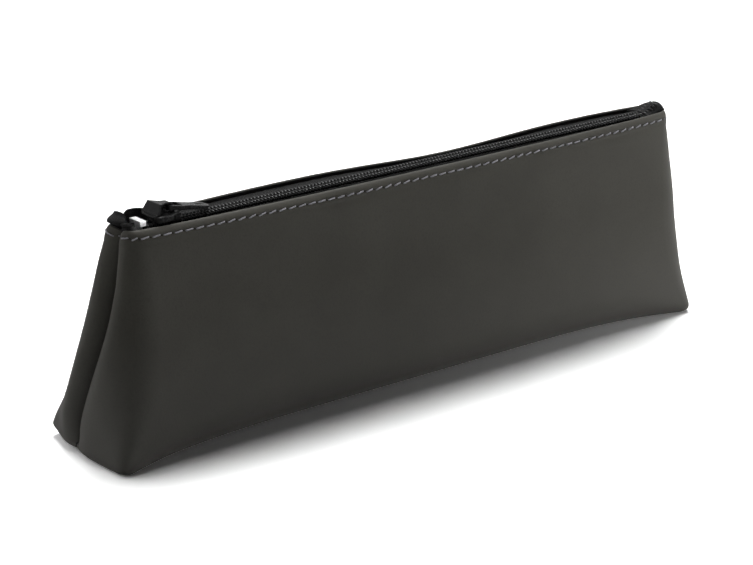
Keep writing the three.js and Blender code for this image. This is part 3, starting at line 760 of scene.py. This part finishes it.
print("seam allowances of", ALLOWANCE_LEAST, "to", ALLOWANCE, "mm")

# %% [markdown]
# The leatherette is a matte dark olive-brown skin on a cloth backing. Close up it has a fine pebble
# grain and faint cloudy changes of tone, and it is painted a little paler along the lips. Towards the
# base it is painted paler still, as painted light for the brighter lower part, and the needle holes
# are painted dark as painted shade. Voronoi cells give the pebbles, and slow noise gives the clouds.
# The backing is short fuzzy fibre. A fine noise is enough for it, and for thread, nylon and metal too,
# so one helper makes all of these finishes.

# %% Helpers for finishes
def object_point(tree):
    return add_node(tree, "ShaderNodeTexCoord").outputs["Object"]


def noise_on(tree, vector, scale, detail):
    inputs = {"Vector": vector, "Scale": scale, "Detail": detail}
    return add_node(tree, "ShaderNodeTexNoise", inputs).outputs["Fac"]


def fine_finish(name, scale, detail, colours, limits=(0.3, 0.7), roughness=None, bumps=None, **constants):
    """A finish whose colour follows one fine noise, and its roughness and bumps too where given."""
    material, tree, shader = new_material(name, **constants)
    grain = noise_on(tree, object_point(tree), scale, detail)
    colour = blend_colours(tree, spread(tree, grain, *limits), *colours)
    tree.links.new(colour, shader.inputs["Base Color"])
    if roughness:
        tree.links.new(spread(tree, grain, 0.3, 0.7, *roughness), shader.inputs["Roughness"])
    if bumps:
        relief(tree, grain, shader, *bumps)
    return material


print("helpers for finishes ready")

# %% Leatherette and its backing
SKIN_DARK = (0.0475, 0.0455, 0.0380, 1)
SKIN_PALE = (0.057, 0.0547, 0.0462, 1)
PORE_COLOUR = grey(0.03, 0.04)
PALE_LIP_AND_PAINTED_LIGHT_COLOUR = grey(0.1, 0.03)
# painted shade for the needle holes
HOLE_SHADE_COLOUR = grey(0.004)
CLOUDS = {"scale": 34.0, "detail": 3.0}
PORES = {"scale": 5200.0, "detail": 2.0}
PORE_SHARE = 0.35
PEBBLE_SCALE = 2100.0
GRAIN_DEPTH = 0.00003
GRAIN_STRENGTH = 0.5

leatherette, tree, shader = new_material(
    "leatherette", Roughness=0.5, Specular_IOR_Level=0.12, Sheen_Weight=0.06, Sheen_Roughness=0.5)
place = object_point(tree)
clouds = noise_on(tree, place, **CLOUDS)
pores = noise_on(tree, place, **PORES)
pebble_inputs = {"Vector": place, "Scale": PEBBLE_SCALE}
pebbles = add_node(tree, "ShaderNodeTexVoronoi", pebble_inputs, feature="SMOOTH_F1").outputs["Distance"]
# painted light and paleness: paler along the lip, and paler towards the base where the lower part is lit
pale_lip_and_painted_light = add_node(tree, "ShaderNodeAttribute", attribute_name="pale_lip_and_painted_light").outputs["Fac"]
# painted shade: the needle holes are painted near black
shaded_holes = add_node(tree, "ShaderNodeAttribute", attribute_name="needle_hole_painted_shade").outputs["Fac"]
skin_colour = blend_colours(tree, spread(tree, clouds, 0.35, 0.65), SKIN_DARK, SKIN_PALE)
skin_colour = blend_colours(tree, spread(tree, pebbles, 0.35, 0.75, 0.0, 0.25), skin_colour, PORE_COLOUR)
# paints the skin paler along the lip, and paler towards the base as painted light
skin_colour = blend_colours(tree, spread(tree, pale_lip_and_painted_light, 0, 1, 0, 0.3), skin_colour, PALE_LIP_AND_PAINTED_LIGHT_COLOUR)
# paints shade into the needle holes
skin_colour = blend_colours(tree, spread(tree, shaded_holes, 0.1, 0.8, 0, 0.9), skin_colour, HOLE_SHADE_COLOUR)
tree.links.new(skin_colour, shader.inputs["Base Color"])
tree.links.new(spread(tree, clouds, 0.3, 0.7, 0.46, 0.56), shader.inputs["Roughness"])
grain = combine(tree, pebbles, combine(tree, pores, PORE_SHARE, "MULTIPLY"))
relief(tree, grain, shader, GRAIN_DEPTH, GRAIN_STRENGTH)

backing_cloth = fine_finish(
    "backing_cloth", scale=3000.0, detail=4.0, colours=(grey(0.016), grey(0.034)), bumps=(0.0001, 0.6),
    Roughness=0.95, Specular_IOR_Level=0.2, Sheen_Weight=0.15, Sheen_Roughness=0.6)
print("materials:", leatherette.name, backing_cloth.name)

# %% Front and back panel
# how far the painted light reaches up from the base, and the paler band along the lip
LIP_PALE_REACH = 2.5
LIP_PALENESS = 0.25
PAINTED_LIGHT_TOP = 48.0
HOLE_SHADE_ROWS = 0.9


def mark_painted_light_and_shade(piece, skin, total):
    """Stores where the skin is painted paler, along the lip and as painted light near the base, and the
    needle holes that get painted shade.
    """
    columns, rows = skin.shape[:2]
    on_skin = columns * rows
    pale_lip_and_painted_light, hole_shade_values = np.zeros((2, total), dtype=np.float32)
    # painted light: paler towards the base, brighter because the lower part is lit
    low = smooth((PAINTED_LIGHT_TOP - skin[..., 2]) / PAINTED_LIGHT_TOP)
    pale_lip_and_painted_light[:on_skin] = np.maximum(low, LIP_PALENESS * bell(np.arange(rows), LIP_PALE_REACH)[None, :]).ravel()
    pale_lip_and_painted_light[2 * on_skin: 2 * on_skin + RIM_SKIN_ROWS * columns] = LIP_PALENESS
    # painted shade: darkness in the needle holes
    hole_shade_values[:on_skin] = (hole_share(columns) * bell(np.arange(rows) - STITCH_ROW, HOLE_SHADE_ROWS)).ravel()
    for name, values in (("pale_lip_and_painted_light", pale_lip_and_painted_light), ("needle_hole_painted_shade", hole_shade_values)):
        piece.data.attributes.new(name, "FLOAT", "POINT").data.foreach_set("value", values)


skins, backings, panels = {}, {}, {}
for word, side in SIDES:
    sheet = panel_sheet(side)
    add_allowance(sheet)
    skins[side], backings[side] = sheet["skin"], sheet["backing"]
    points = np.concatenate(sheet["points"])
    faces = sheet["faces"]
    kinds = [kind for kind in (SKIN, CLOTH) for face in faces[kind]]
    panels[side] = make_piece(
        f"{word}_leatherette", (points, faces[SKIN] + faces[CLOTH]), [leatherette, backing_cloth],
        [f"{word}_panel"], indices=kinds)
    mark_painted_light_and_shade(panels[side], skins[side], len(points))

# %% [markdown]
# The stitches are short lengths of twisted thread that dive into the skin at both ends. A plain
# dashed tube would look like a bar, so each one is an arch with a three-ply section that turns along
# it. They lie at the same columns as the dimples of the ditch, so every end meets its hole. Each
# slants towards the lip, as a lockstitch does, and no two by quite the same amount.

# %% Helpers for tubes
FIRST_ACROSS = (0.31, 0.27, 0.91)
PLY_BULGE = 0.14


def tube(path, radius, sides=8, plies=0, twist=0.0):
    """Points and faces of a closed tube along a path, with its caps. radius may vary along it."""
    path = np.asarray(path, dtype=float)
    radius = np.broadcast_to(radius, len(path))
    tangents = unit(np.gradient(path, axis=0))
    across = np.cross(tangents[0], FIRST_ACROSS)
    angles = np.linspace(0, 2 * np.pi, sides, endpoint=False)
    rings = []
    for point, tangent, size, travel in zip(path, tangents, radius, run_length(path)):
        across = unit(across - tangent * np.dot(across, tangent))
        other = np.cross(tangent, across)
        ply = 1 + (PLY_BULGE * np.cos(plies * angles + twist * travel) if plies else 0 * angles)
        outward = np.cos(angles)[:, None] * across + np.sin(angles)[:, None] * other
        rings.append(point + (size * ply)[:, None] * outward)
    count = len(path)
    around = np.append(np.arange(sides), 0)
    faces = grid_faces(np.arange(count)[:, None] * sides + around)
    faces += [tuple(range(sides)), tuple(range((count - 1) * sides, count * sides))]
    return np.concatenate(rings), faces


def join_parts(parts):
    points, faces, start = [], [], 0
    for part_points, part_faces in parts:
        points.append(part_points)
        faces += [tuple(v + start for v in face) for face in part_faces]
        start += len(part_points)
    return np.concatenate(points), faces


print("a tube of one step has", len(tube([(0, 0, 0), (1, 0, 0)], 0.2)[1]), "faces with its caps")

# %% Thread and one stitch
def thread_finish(name, dark, pale):
    return fine_finish(
        name, scale=6000.0, detail=3.0, colours=(dark, pale), limits=(0.35, 0.65), bumps=(0.00006, 0.7),
        Roughness=0.6, Specular_IOR_Level=0.4, Sheen_Weight=0.3, Sheen_Roughness=0.4)


lilac_thread = thread_finish("lilac_thread", (0.138, 0.135, 0.152, 1), (0.245, 0.24, 0.262, 1))
dark_thread = thread_finish("dark_thread", (0.018, 0.018, 0.017, 1), (0.05, 0.048, 0.045, 1))
print("materials:", lilac_thread.name, dark_thread.name)

TOP_THREAD = 0.195
TOP_TAPER = 0.7
PLIES = 3
TWIST = 5.5
SLANT = 0.5
SLANT_UNEVEN = 0.45
SLANT_STEP = 2.3
STITCH_POINTS = 11
STITCH_SUNK = -0.45
STITCH_LIFT = 0.24
STITCH_SQUARE = 5


def stitch(line, normals, across, first, last):
    """One arch of thread between two places on a line, given in columns."""
    share = np.linspace(0, 1, STITCH_POINTS)
    place = between(first, last, share)
    low = np.floor(place).astype(int).clip(0, len(line) - 2)
    part = (place - low)[:, None]
    at, normal, aside = [between(a[low], a[low + 1], part) for a in (line, normals, across)]
    arch = 1 - np.abs(2 * share - 1) ** STITCH_SQUARE
    lift = between(STITCH_SUNK, STITCH_LIFT, arch)
    slant = SLANT * (1 + SLANT_UNEVEN * np.sin(SLANT_STEP * first))
    path = at + normal * lift[:, None] + aside * (slant * (share - 0.5))[:, None]
    return tube(path, TOP_THREAD * between(TOP_TAPER, 1.0, arch), sides=12, plies=PLIES, twist=TWIST)


# %% Topstitches along both lips
CORNER_STITCHES = {FRONT: ((9, 20), (22.5, 28)), BACK: ((2, 7), (9, 20), (22.5, 28))}
BARE_ROWS = 4
UP_ROWS = 3
IN_DITCH = 0.6


def topstitch_row(side):
    skin = skins[side]
    normals = grid_normals(skin, side)[:, STITCH_ROW]
    bare = (skin[:, STITCH_ROW - BARE_ROWS] + skin[:, STITCH_ROW + BARE_ROWS]) / 2
    line = between(bare, skin[:, STITCH_ROW], IN_DITCH)
    up = unit(skin[:, STITCH_ROW - UP_ROWS] - skin[:, STITCH_ROW + UP_ROWS])
    last_column = len(line) - 1
    firsts = last_column // 2 + COLUMNS_PER_STITCH * np.arange(-STITCHES_PER_HALF, STITCHES_PER_HALF)
    places = [(first, first + COLUMNS_PER_STITCH * STITCH_SHARE) for first in firsts]
    for first, last in CORNER_STITCHES[side]:
        places += [(first, last), (last_column - last, last_column - first)]
    return [stitch(line, normals, up, first, last) for first, last in places]


for word, side in SIDES:
    make_piece(f"{word}_stitches", join_parts(topstitch_row(side)), [lilac_thread],
                                [f"{word}_topstitch"])

# %% [markdown]
# The seams inside the case are sewn with a dark thread. They hardly show, but the part can be looked
# at from every side and cut open, so each plain CAD thread becomes a row of stitches on the same
# line. The lines are written out again from the CAD sizes.

# %% Stitches of the hidden seams
FIT = 0.3
THREAD_RADIUS = 0.3
INNER_THREAD = LEATHER + FIT + THREAD_RADIUS
SEAM_END = 7.5
SEAM_POINTS = 9
SEAM_PITCH = 2.6
SEAM_STITCH = 0.8
SEAM_THREAD = 0.85 * THREAD_RADIUS
SEAM_TAPER = np.array([0.55, 0.85, 1, 1, 1, 0.85, 0.55])
SEAM_PLIES = 2
CORNER_THREAD = 0.8
CORNER_CLEAR = 1.8
CORNER_MIDDLE = 0.1
CORNER_POINTS = 6


def stitch_run(corner_points):
    """A row of stitches along a line through a few points."""
    corner_points = np.asarray(corner_points, dtype=float)
    run = run_length(corner_points)
    count = max(2, int(run[-1] / SEAM_PITCH))
    parts = []
    for k in range(count):
        places = np.linspace(k, k + SEAM_STITCH, len(SEAM_TAPER)) / count * run[-1]
        path = along_line(corner_points, run, places)
        parts.append(tube(path, SEAM_THREAD * SEAM_TAPER, plies=SEAM_PLIES, twist=TWIST))
    return parts


def end_seam_line(mirror):
    heights = np.linspace(END_LIFT + SEAM_END, FACE_TOP - SEAM_END, SEAM_POINTS)
    groove = seam_roll(np.full((SEAM_POINTS, 1), SEAM_GAP / 2), heights[:, None], BACK)[:, 0]
    seam = plan_at(heights, BACK)["seam"] - INNER_THREAD - groove
    return np.stack([mirror * seam, lean_at(heights), heights], axis=1)


def corner_seam_line(mirror):
    inset = INNER_THREAD + FIT

    def corner_place(side, t):
        z = END_LIFT * (1 - t) ** 2 + inset
        x, w = column_point(np.array(END), np.array(t), np.array(z), side)
        groove = float(seam_roll(np.full((1, 1), w), np.full((1, 1), z), side)[0, 0])
        aside = float(seam_drift(mirror * x, w, z, side))
        return mirror * (float(x) - inset - groove - CORNER_CLEAR), lean_at(z) + side * float(w) + aside, z

    ts = np.linspace(CORNER_THREAD, CORNER_MIDDLE, CORNER_POINTS)
    front = [corner_place(FRONT, t) for t in ts]
    return front + [corner_place(BACK, 0)] + [corner_place(BACK, t) for t in ts[::-1]]


bottom_reach = BASE_LENGTH / 2 - END_REACH
seam_lines = {"bottom": [(-bottom_reach, 0, INNER_THREAD), (bottom_reach, 0, INNER_THREAD)]}
for word, mirror in (("left", -1), ("right", 1)):
    seam_lines[f"{word}_end"] = end_seam_line(mirror)
    seam_lines[f"{word}_corner"] = corner_seam_line(mirror)
for word, line in seam_lines.items():
    make_piece(f"{word}_seam_stitches", join_parts(stitch_run(line)), [dark_thread],
               [f"{word}_seam_thread"])

# %% [markdown]
# The zip has two woven tapes. Each hangs behind its panel, turns over under the lip and runs flat to
# the chain. A tape is a thin closed sheet with its own texture coordinates, so that the weave runs
# along it.

# %% Weave of the zip tape
WALE = 1.9
WEFT_FINER = 1.3
LINT = {"scale": 5.0, "detail": 4.0}
WEAVE_DEPTH = 0.00012
WEAVE_STRENGTH = 0.8
zip_fabric, tree, shader = new_material(
    "zip_fabric", Roughness=0.85, Specular_IOR_Level=0.2, Sheen_Weight=0.06, Sheen_Roughness=0.5)
cloth = add_node(tree, "ShaderNodeUVMap", uv_map="cloth_mm").outputs["UV"]
rib = add_node(tree, "ShaderNodeTexWave", {"Vector": cloth, "Scale": WALE, "Distortion": 0.4},
               bands_direction="Y")
weft = add_node(tree, "ShaderNodeTexWave", {"Vector": cloth, "Scale": WALE * WEFT_FINER, "Distortion": 0.6},
                bands_direction="DIAGONAL")
weave = combine(tree, rib.outputs["Fac"], weft.outputs["Fac"], "MULTIPLY")
tape_colour = blend_colours(tree, weave, grey(0.004), grey(0.014))
linted = spread(tree, noise_on(tree, cloth, **LINT), 0.5, 0.8, 0.0, 0.4)
tree.links.new(blend_colours(tree, linted, tape_colour, grey(0.025)), shader.inputs["Base Color"])
relief(tree, weave, shader, WEAVE_DEPTH, WEAVE_STRENGTH)
print("material:", zip_fabric.name)

# %% Shape of the zip tapes
TAPE = 0.45
TAPE_DROP = 9.0
TAPE_EDGE = 1.0
TAPE_RUN = 1.7
TAPE_TOP = CASE_HEIGHT - LEATHER - FIT
CHAIN_Y = -TOP_FORWARD
TAPE_SHORTER = 4.5
TAPE_HALF = TOP_LENGTH / 2 - TAPE_SHORTER
TAPE_STATIONS = 393
TAPE_FINE = 26
PROFILE_STEPS = 6
SAG_CLEAR = 3.0


def shoulder_profile(x, side):
    """Outside of a panel across the case at x, from the lip down, as (y, z)."""
    foot = CASE_HEIGHT - TAPE_DROP
    top = float(face_width(plan_at(FACE_TOP, side), x))
    turned, above = shoulder_curve(PROFILE_STEPS)
    z = np.append(FACE_TOP + above, [FACE_TOP, foot])
    w = np.append(top - turned * SHOULDER_INSET, [top, float(face_width(plan_at(foot, side), x))])
    return np.stack([lean_at(z) + side * w, z], axis=1)


def inset_line(line, side, distance):
    along = unit(np.gradient(line, axis=0))
    return line + side * distance * np.stack([along[:, 1], -along[:, 0]], axis=1)


def tape_section(x, side, depth):
    """A tape across the case at x in even steps, and how far each lies along it."""
    profile = shoulder_profile(x, side)
    inner = max(TAPE_EDGE + FIT, side * (profile[0, 0] - CHAIN_Y) - TAPE_RUN)
    flat = [(CHAIN_Y + side * reach, TAPE_TOP - depth) for reach in (TAPE_EDGE, inner)]
    line = np.concatenate([flat, inset_line(profile, side, LEATHER + FIT + depth)])
    if side == BACK:
        line[:, 1] -= sag_at(x, line[:, 1]) * np.clip((line[:, 0] - CHAIN_Y - SAG_CLEAR) / SAG_CLEAR, 0, 1)
    run = run_length(line)
    places = np.linspace(0, run[-1], TAPE_FINE)
    return along_line(line, run, places), places


def sheet_faces(columns, rows):
    """Faces of a closed thin sheet: the points of one side, then those of the other."""
    grid = np.arange(columns * rows).reshape(columns, rows)
    border = np.concatenate([grid[:-1, 0], grid[-1, :-1], grid[:0:-1, -1], grid[0, ::-1]])
    return grid_faces(grid) + grid_faces(grid + grid.size) + strip(border, border + grid.size)


def tape_sheet(side):
    layers, coordinates = [], []
    for depth in (0.0, TAPE):
        for x in np.linspace(-TAPE_HALF, TAPE_HALF, TAPE_STATIONS):
            line, places = tape_section(x, side, depth)
            layers.append(np.column_stack([np.full(TAPE_FINE, x), line]))
            coordinates.append(np.column_stack([np.full(TAPE_FINE, x), places]))
    return np.concatenate(layers), sheet_faces(TAPE_STATIONS, TAPE_FINE), np.concatenate(coordinates)


print("at mid length the front tape is", tape_section(0.0, FRONT, 0.0)[1][-1].round(1), "mm wide")

# %% [markdown]
# At the left end of the mouth the tapes are turned up and sewn into the end seam, so they stand round
# the stops like a black collar, higher at the back. At the right end they are folded over the bottom
# stop and hide it. The collar follows the inside of the lip, column by column, so it fits wherever
# the seam pulls the lip in. The fold is soft: when the slider comes to that end, its pull lies on the
# fold and presses it flat. The fold is a piece of its own.

# %% Collar at the left end
COLLAR_CLEAR = 0.2
COLLAR_WALL = 0.35
COLLAR_FOOT = TAPE_TOP + COLLAR_CLEAR
COLLAR_ROWS = 22
COLLAR_HEIGHT = {
    BACK: ([80.0, 84.0, 88.0, 91.0, 94.0, 98.5, 100.5, 102.5],
           [65.9, 67.3, 68.8, 69.4, 69.8, 70.3, 70.6, 70.2]),
    FRONT: ([95.2, 96.6, 98.0, 99.5, 102.5],
            [65.9, 66.4, 67.4, 68.4, 68.9]),
}
COLLAR_OUT = {BACK: 1.5, FRONT: 0.6}
COLLAR_IN = {BACK: 0.5, FRONT: 1.5}
COLLAR_END = 96.0
COLLAR_END_FADE = 4.0
RIM_SHARE = 0.3
RIM_FADE = 0.12
LEAN_SHARE = 0.5
RIPPLE = 0.22
RIPPLE_LENGTH = 2.4
RIPPLE_FADE = 2.0
NOTCH_PLACE = -97.6
NOTCH_WIDTH = 1.3
NOTCH_DEPTH = 2.2


def collar(side):
    lip = backings[side][:, 0]
    inward = unit((lip - skins[side][:, 0]) * (1, 1, 0))
    places, heights = COLLAR_HEIGHT[side]
    columns = [c for c in range(len(lip) // 2) if -lip[c, 0] >= places[0]]
    lip, inward = lip[columns], inward[columns]
    top = np.interp(-lip[:, 0], places, heights)
    ripple = np.array([noise.noise(Vector(point) / RIPPLE_LENGTH) for point in lip])
    top = top + RIPPLE * ripple * smooth((top - COLLAR_FOOT) / RIPPLE_FADE)
    if side == BACK:
        top = top - NOTCH_DEPTH * bell(lip[:, 0] - NOTCH_PLACE, NOTCH_WIDTH)
    rise = np.linspace(0, 1, COLLAR_ROWS)[None, :]
    out = COLLAR_OUT[side] * smooth((-lip[:, 0] - COLLAR_END) / COLLAR_END_FADE)[:, None]
    over_rim = out * smooth((rise - RIM_SHARE) / RIM_FADE)
    lean_in = (out + COLLAR_IN[side]) * smooth((rise - LEAN_SHARE) / (1 - LEAN_SHARE))
    layers = []
    for depth in (COLLAR_CLEAR, COLLAR_CLEAR + COLLAR_WALL):
        foot = lip + inward * depth
        foot[:, 2] = COLLAR_FOOT
        wall = foot[:, None, :] + inward[:, None, :] * (lean_in - over_rim)[..., None]
        wall[:, :, 2] += (top - COLLAR_FOOT)[:, None] * rise
        layers.append(wall.reshape(-1, 3))
    points = np.concatenate(layers)
    return points, sheet_faces(len(columns), COLLAR_ROWS), points[:, [0, 2]]


print("the collar stands up to", collar(BACK)[0][:, 2].max().round(1), "mm")

# %% Folded end at the right
FOLD_START, FOLD_END = 93.6, 101.2
FOLD_STEPS = 22
FOLD_HALF = {FRONT: 2.9, BACK: 2.8}
FOLD_LEAD = 1.0
FOLD_CLOSING = 4.0
FOLD_SQUARE = (0.6, 0.3)
FOLD_BASE = 0.9
FOLD_BASE_RISE = 1.1
FOLD_FOOT = 0.8
FOLD_RISE = 2.0
FOLD_SLOPE = 5.4
FOLD_TUCK = 0.9
FOLD_TUCK_LENGTH = 0.7


def folded_end():
    """The tapes' right end, turned over the bottom stop from lip to lip."""
    x = np.linspace(FOLD_START, FOLD_END, FOLD_STEPS)[:, None]
    share = np.linspace(0, 1, FOLD_STEPS)[None, :]
    closing = smooth((x - TAPE_HALF + FOLD_LEAD) / FOLD_CLOSING)

    def edge(side):
        lip = np.array([shoulder_profile(v, side)[0, 0] for v in np.minimum(x[:, 0], TAPE_HALF)])
        return between(lip[:, None] - side * (LEATHER + FIT), CHAIN_Y + side * FOLD_HALF[side], closing)

    y = between(edge(FRONT), edge(BACK), share)
    arch = np.sin(np.pi * share) ** between(*FOLD_SQUARE, closing)
    arch = arch * (1 - FOLD_TUCK * smooth((x - FOLD_END + FOLD_TUCK_LENGTH) / FOLD_TUCK_LENGTH))
    climb = FOLD_RISE * smooth((x - FOLD_START) / FOLD_SLOPE)
    z = TAPE_TOP + FOLD_BASE + FOLD_BASE_RISE * closing + arch * (FOLD_FOOT + climb - FOLD_BASE * closing)
    layers = [np.stack([x + 0 * y, y, z - depth], axis=2) for depth in (0, TAPE)]
    points = np.concatenate(layers).reshape(-1, 3)
    return points, sheet_faces(FOLD_STEPS, FOLD_STEPS), points[:, :2]


points, faces, fold_uv = folded_end()
fold_shape = points, faces
print("the fold stands up to", points[:, 2].max().round(1), "mm")

# %% Tapes with their collar, and the fold
for word, side in SIDES:
    parts = [tape_sheet(side), collar(side)]
    uv = np.concatenate([part[2] for part in parts])
    make_piece(f"{word}_tape_weave", join_parts([part[:2] for part in parts]), [zip_fabric],
                             [f"{word}_zip_tape"], uv=uv)
tape_fold = make_piece("folded_tape_end", fold_shape, [zip_fabric], [], uv=fold_uv)
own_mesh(tape_fold)

# %% [markdown]
# Panels and tapes were flat before they were sewn. A panel is cut wide enough for the base and both
# end halves, and its area leaves out the corners that the taper takes away. Both tapes come off one
# roll, so they have the same width.

# %% [markdown]
# Each half of the chain is one nylon filament that is wound into a flat coil and sewn to its tape.
# The CAD has a plain bar for it. Here it is a real helix with a flattened section, half a pitch apart
# on the two sides. The heads stop short of the middle, so that the slider's post passes between them.
# Past the bottom stop the chain has a short tail that climbs on the folded tape end.

# %% Coils of the chain
COIL_PITCH = 1.2
COIL_NEAR = 0.3
COIL_FAR = 2.2
COIL_BOTTOM = TAPE_TOP + FIT
COIL_HEIGHT = 1.4
COIL_TOP = COIL_BOTTOM + COIL_HEIGHT
COIL_START = -94.4
COIL_END = 93.4
SQUARE_WIDTH = 0.7
SQUARE_HEIGHT = 0.8
FILAMENT = 0.28
POINTS_PER_TURN = 16
TAIL_START = 93.2
TAIL_END = 99.7
TAIL_RISE = 2.35

coil_nylon = fine_finish(
    "coil_nylon", scale=900.0, detail=2.0, colours=(grey(0.007), grey(0.014)), roughness=(0.24, 0.38),
    Roughness=0.28, Specular_IOR_Level=0.4)


def squared(value, power):
    return np.sign(value) * np.abs(value) ** power


def coil_path(side, first, last):
    turns = (last - first - 2 * FILAMENT) / COIL_PITCH - 0.5
    angle = np.linspace(0, 2 * np.pi * turns, int(turns * POINTS_PER_TURN))
    start = first + FILAMENT + (0.5 * COIL_PITCH if side == BACK else 0)
    half_width = (COIL_FAR - COIL_NEAR) / 2 - FILAMENT
    half_height = (COIL_TOP - COIL_BOTTOM) / 2 - FILAMENT
    y = CHAIN_Y + side * ((COIL_FAR + COIL_NEAR) / 2 - half_width * squared(np.cos(angle), SQUARE_WIDTH))
    z = (COIL_TOP + COIL_BOTTOM) / 2 + half_height * squared(np.sin(angle), SQUARE_HEIGHT)
    return np.stack([start + COIL_PITCH * angle / (2 * np.pi), y, z], axis=1)


tail_parts = []
for word, side in SIDES:
    coil = tube(coil_path(side, COIL_START, COIL_END), FILAMENT)
    make_piece(f"{word}_coil_filament", coil, [coil_nylon], [f"{word}_coil"])
    tail = coil_path(side, TAIL_START, TAIL_END)
    tail[:, 2] += TAIL_RISE * smooth((tail[:, 0] - TAIL_START) / (TAIL_END - TAIL_START))
    tail_parts.append(tube(tail, FILAMENT))
chain_tail = make_piece("chain_tail", join_parts(tail_parts), [coil_nylon], [])
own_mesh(chain_tail)

# %% [markdown]
# The slider, its cap, the pull and the stops are small castings and pressings. Their CAD shapes are
# right but sharp. A copy of each is remeshed into tiny voxels and smoothed, which rounds every edge
# as casting and enamel do, and then thinned out again. The two top stops are drawn up as well, because
# the real clips stand higher than the chain. The CAD solids themselves are not touched.

# %% Enamel and bare metal
black_enamel = fine_finish(
    "black_enamel", scale=700.0, detail=2.0, colours=(grey(0.003), grey(0.007)), roughness=(0.18, 0.3),
    bumps=(0.00005, 0.25), Roughness=0.3, Specular_IOR_Level=0.2, Coat_Weight=0.05, Coat_Roughness=0.12)
bright_metal = fine_finish(
    "bright_metal", scale=1500.0, detail=3.0, colours=(grey(0.72), grey(0.9)), limits=(0.35, 0.65),
    roughness=(0.34, 0.5), Metallic=1.0, Roughness=0.4)
spring_steel = fine_finish(
    "spring_steel", scale=2500.0, detail=2.0, colours=(grey(0.42), grey(0.56)), limits=(0.35, 0.65),
    roughness=(0.25, 0.4), Metallic=1.0, Roughness=0.3)
print("materials:", black_enamel.name, bright_metal.name, spring_steel.name)

# %% Rounded castings
POLISH = 0.5
KEPT_FACES = 0.35
STOP_TALLER = 1.7


def rounded_copy(name, node, material, body, voxel, rounds, taller=1.0):
    sharp = add_object("sharp_copy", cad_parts[node].data.copy())
    remesh = sharp.modifiers.new("voxels", "REMESH")
    remesh.mode = "VOXEL"
    remesh.voxel_size = voxel * MM
    remesh.use_smooth_shade = True
    polish = sharp.modifiers.new("polish", "SMOOTH")
    polish.factor = POLISH
    polish.iterations = rounds
    thin = sharp.modifiers.new("thin", "DECIMATE")
    thin.ratio = KEPT_FACES
    graph = bpy.context.evaluated_depsgraph_get()
    mesh = bpy.data.meshes.new_from_object(sharp.evaluated_get(graph))
    bpy.data.objects.remove(sharp)
    mesh.name = name
    mesh.materials.clear()
    mesh.materials.append(material)
    foot = min(point.co.z for point in mesh.vertices)
    for point in mesh.vertices:
        point.co.z = between(foot, point.co.z, taller)
    seat(name, mesh, body, [node])


rounded_copy("slider_casting", "slider_body", black_enamel, "slider", voxel=0.1, rounds=5)
rounded_copy("slider_cover", "slider_cap", black_enamel, "slider", voxel=0.08, rounds=5)
rounded_copy("lock_spring_strip", "lock_spring", spring_steel, "slider",
             voxel=0.05, rounds=2)
rounded_copy("pull_casting", "pull_tab", black_enamel, "pull", voxel=0.08, rounds=5)
for name, node, taller in (("front_stop_clip", "front_top_stop", STOP_TALLER),
                           ("back_stop_clip", "back_top_stop", STOP_TALLER),
                           ("bottom_stop_clip", "bottom_stop", 1.0)):
    rounded_copy(name, node, bright_metal, "case", voxel=0.07, rounds=3, taller=taller)
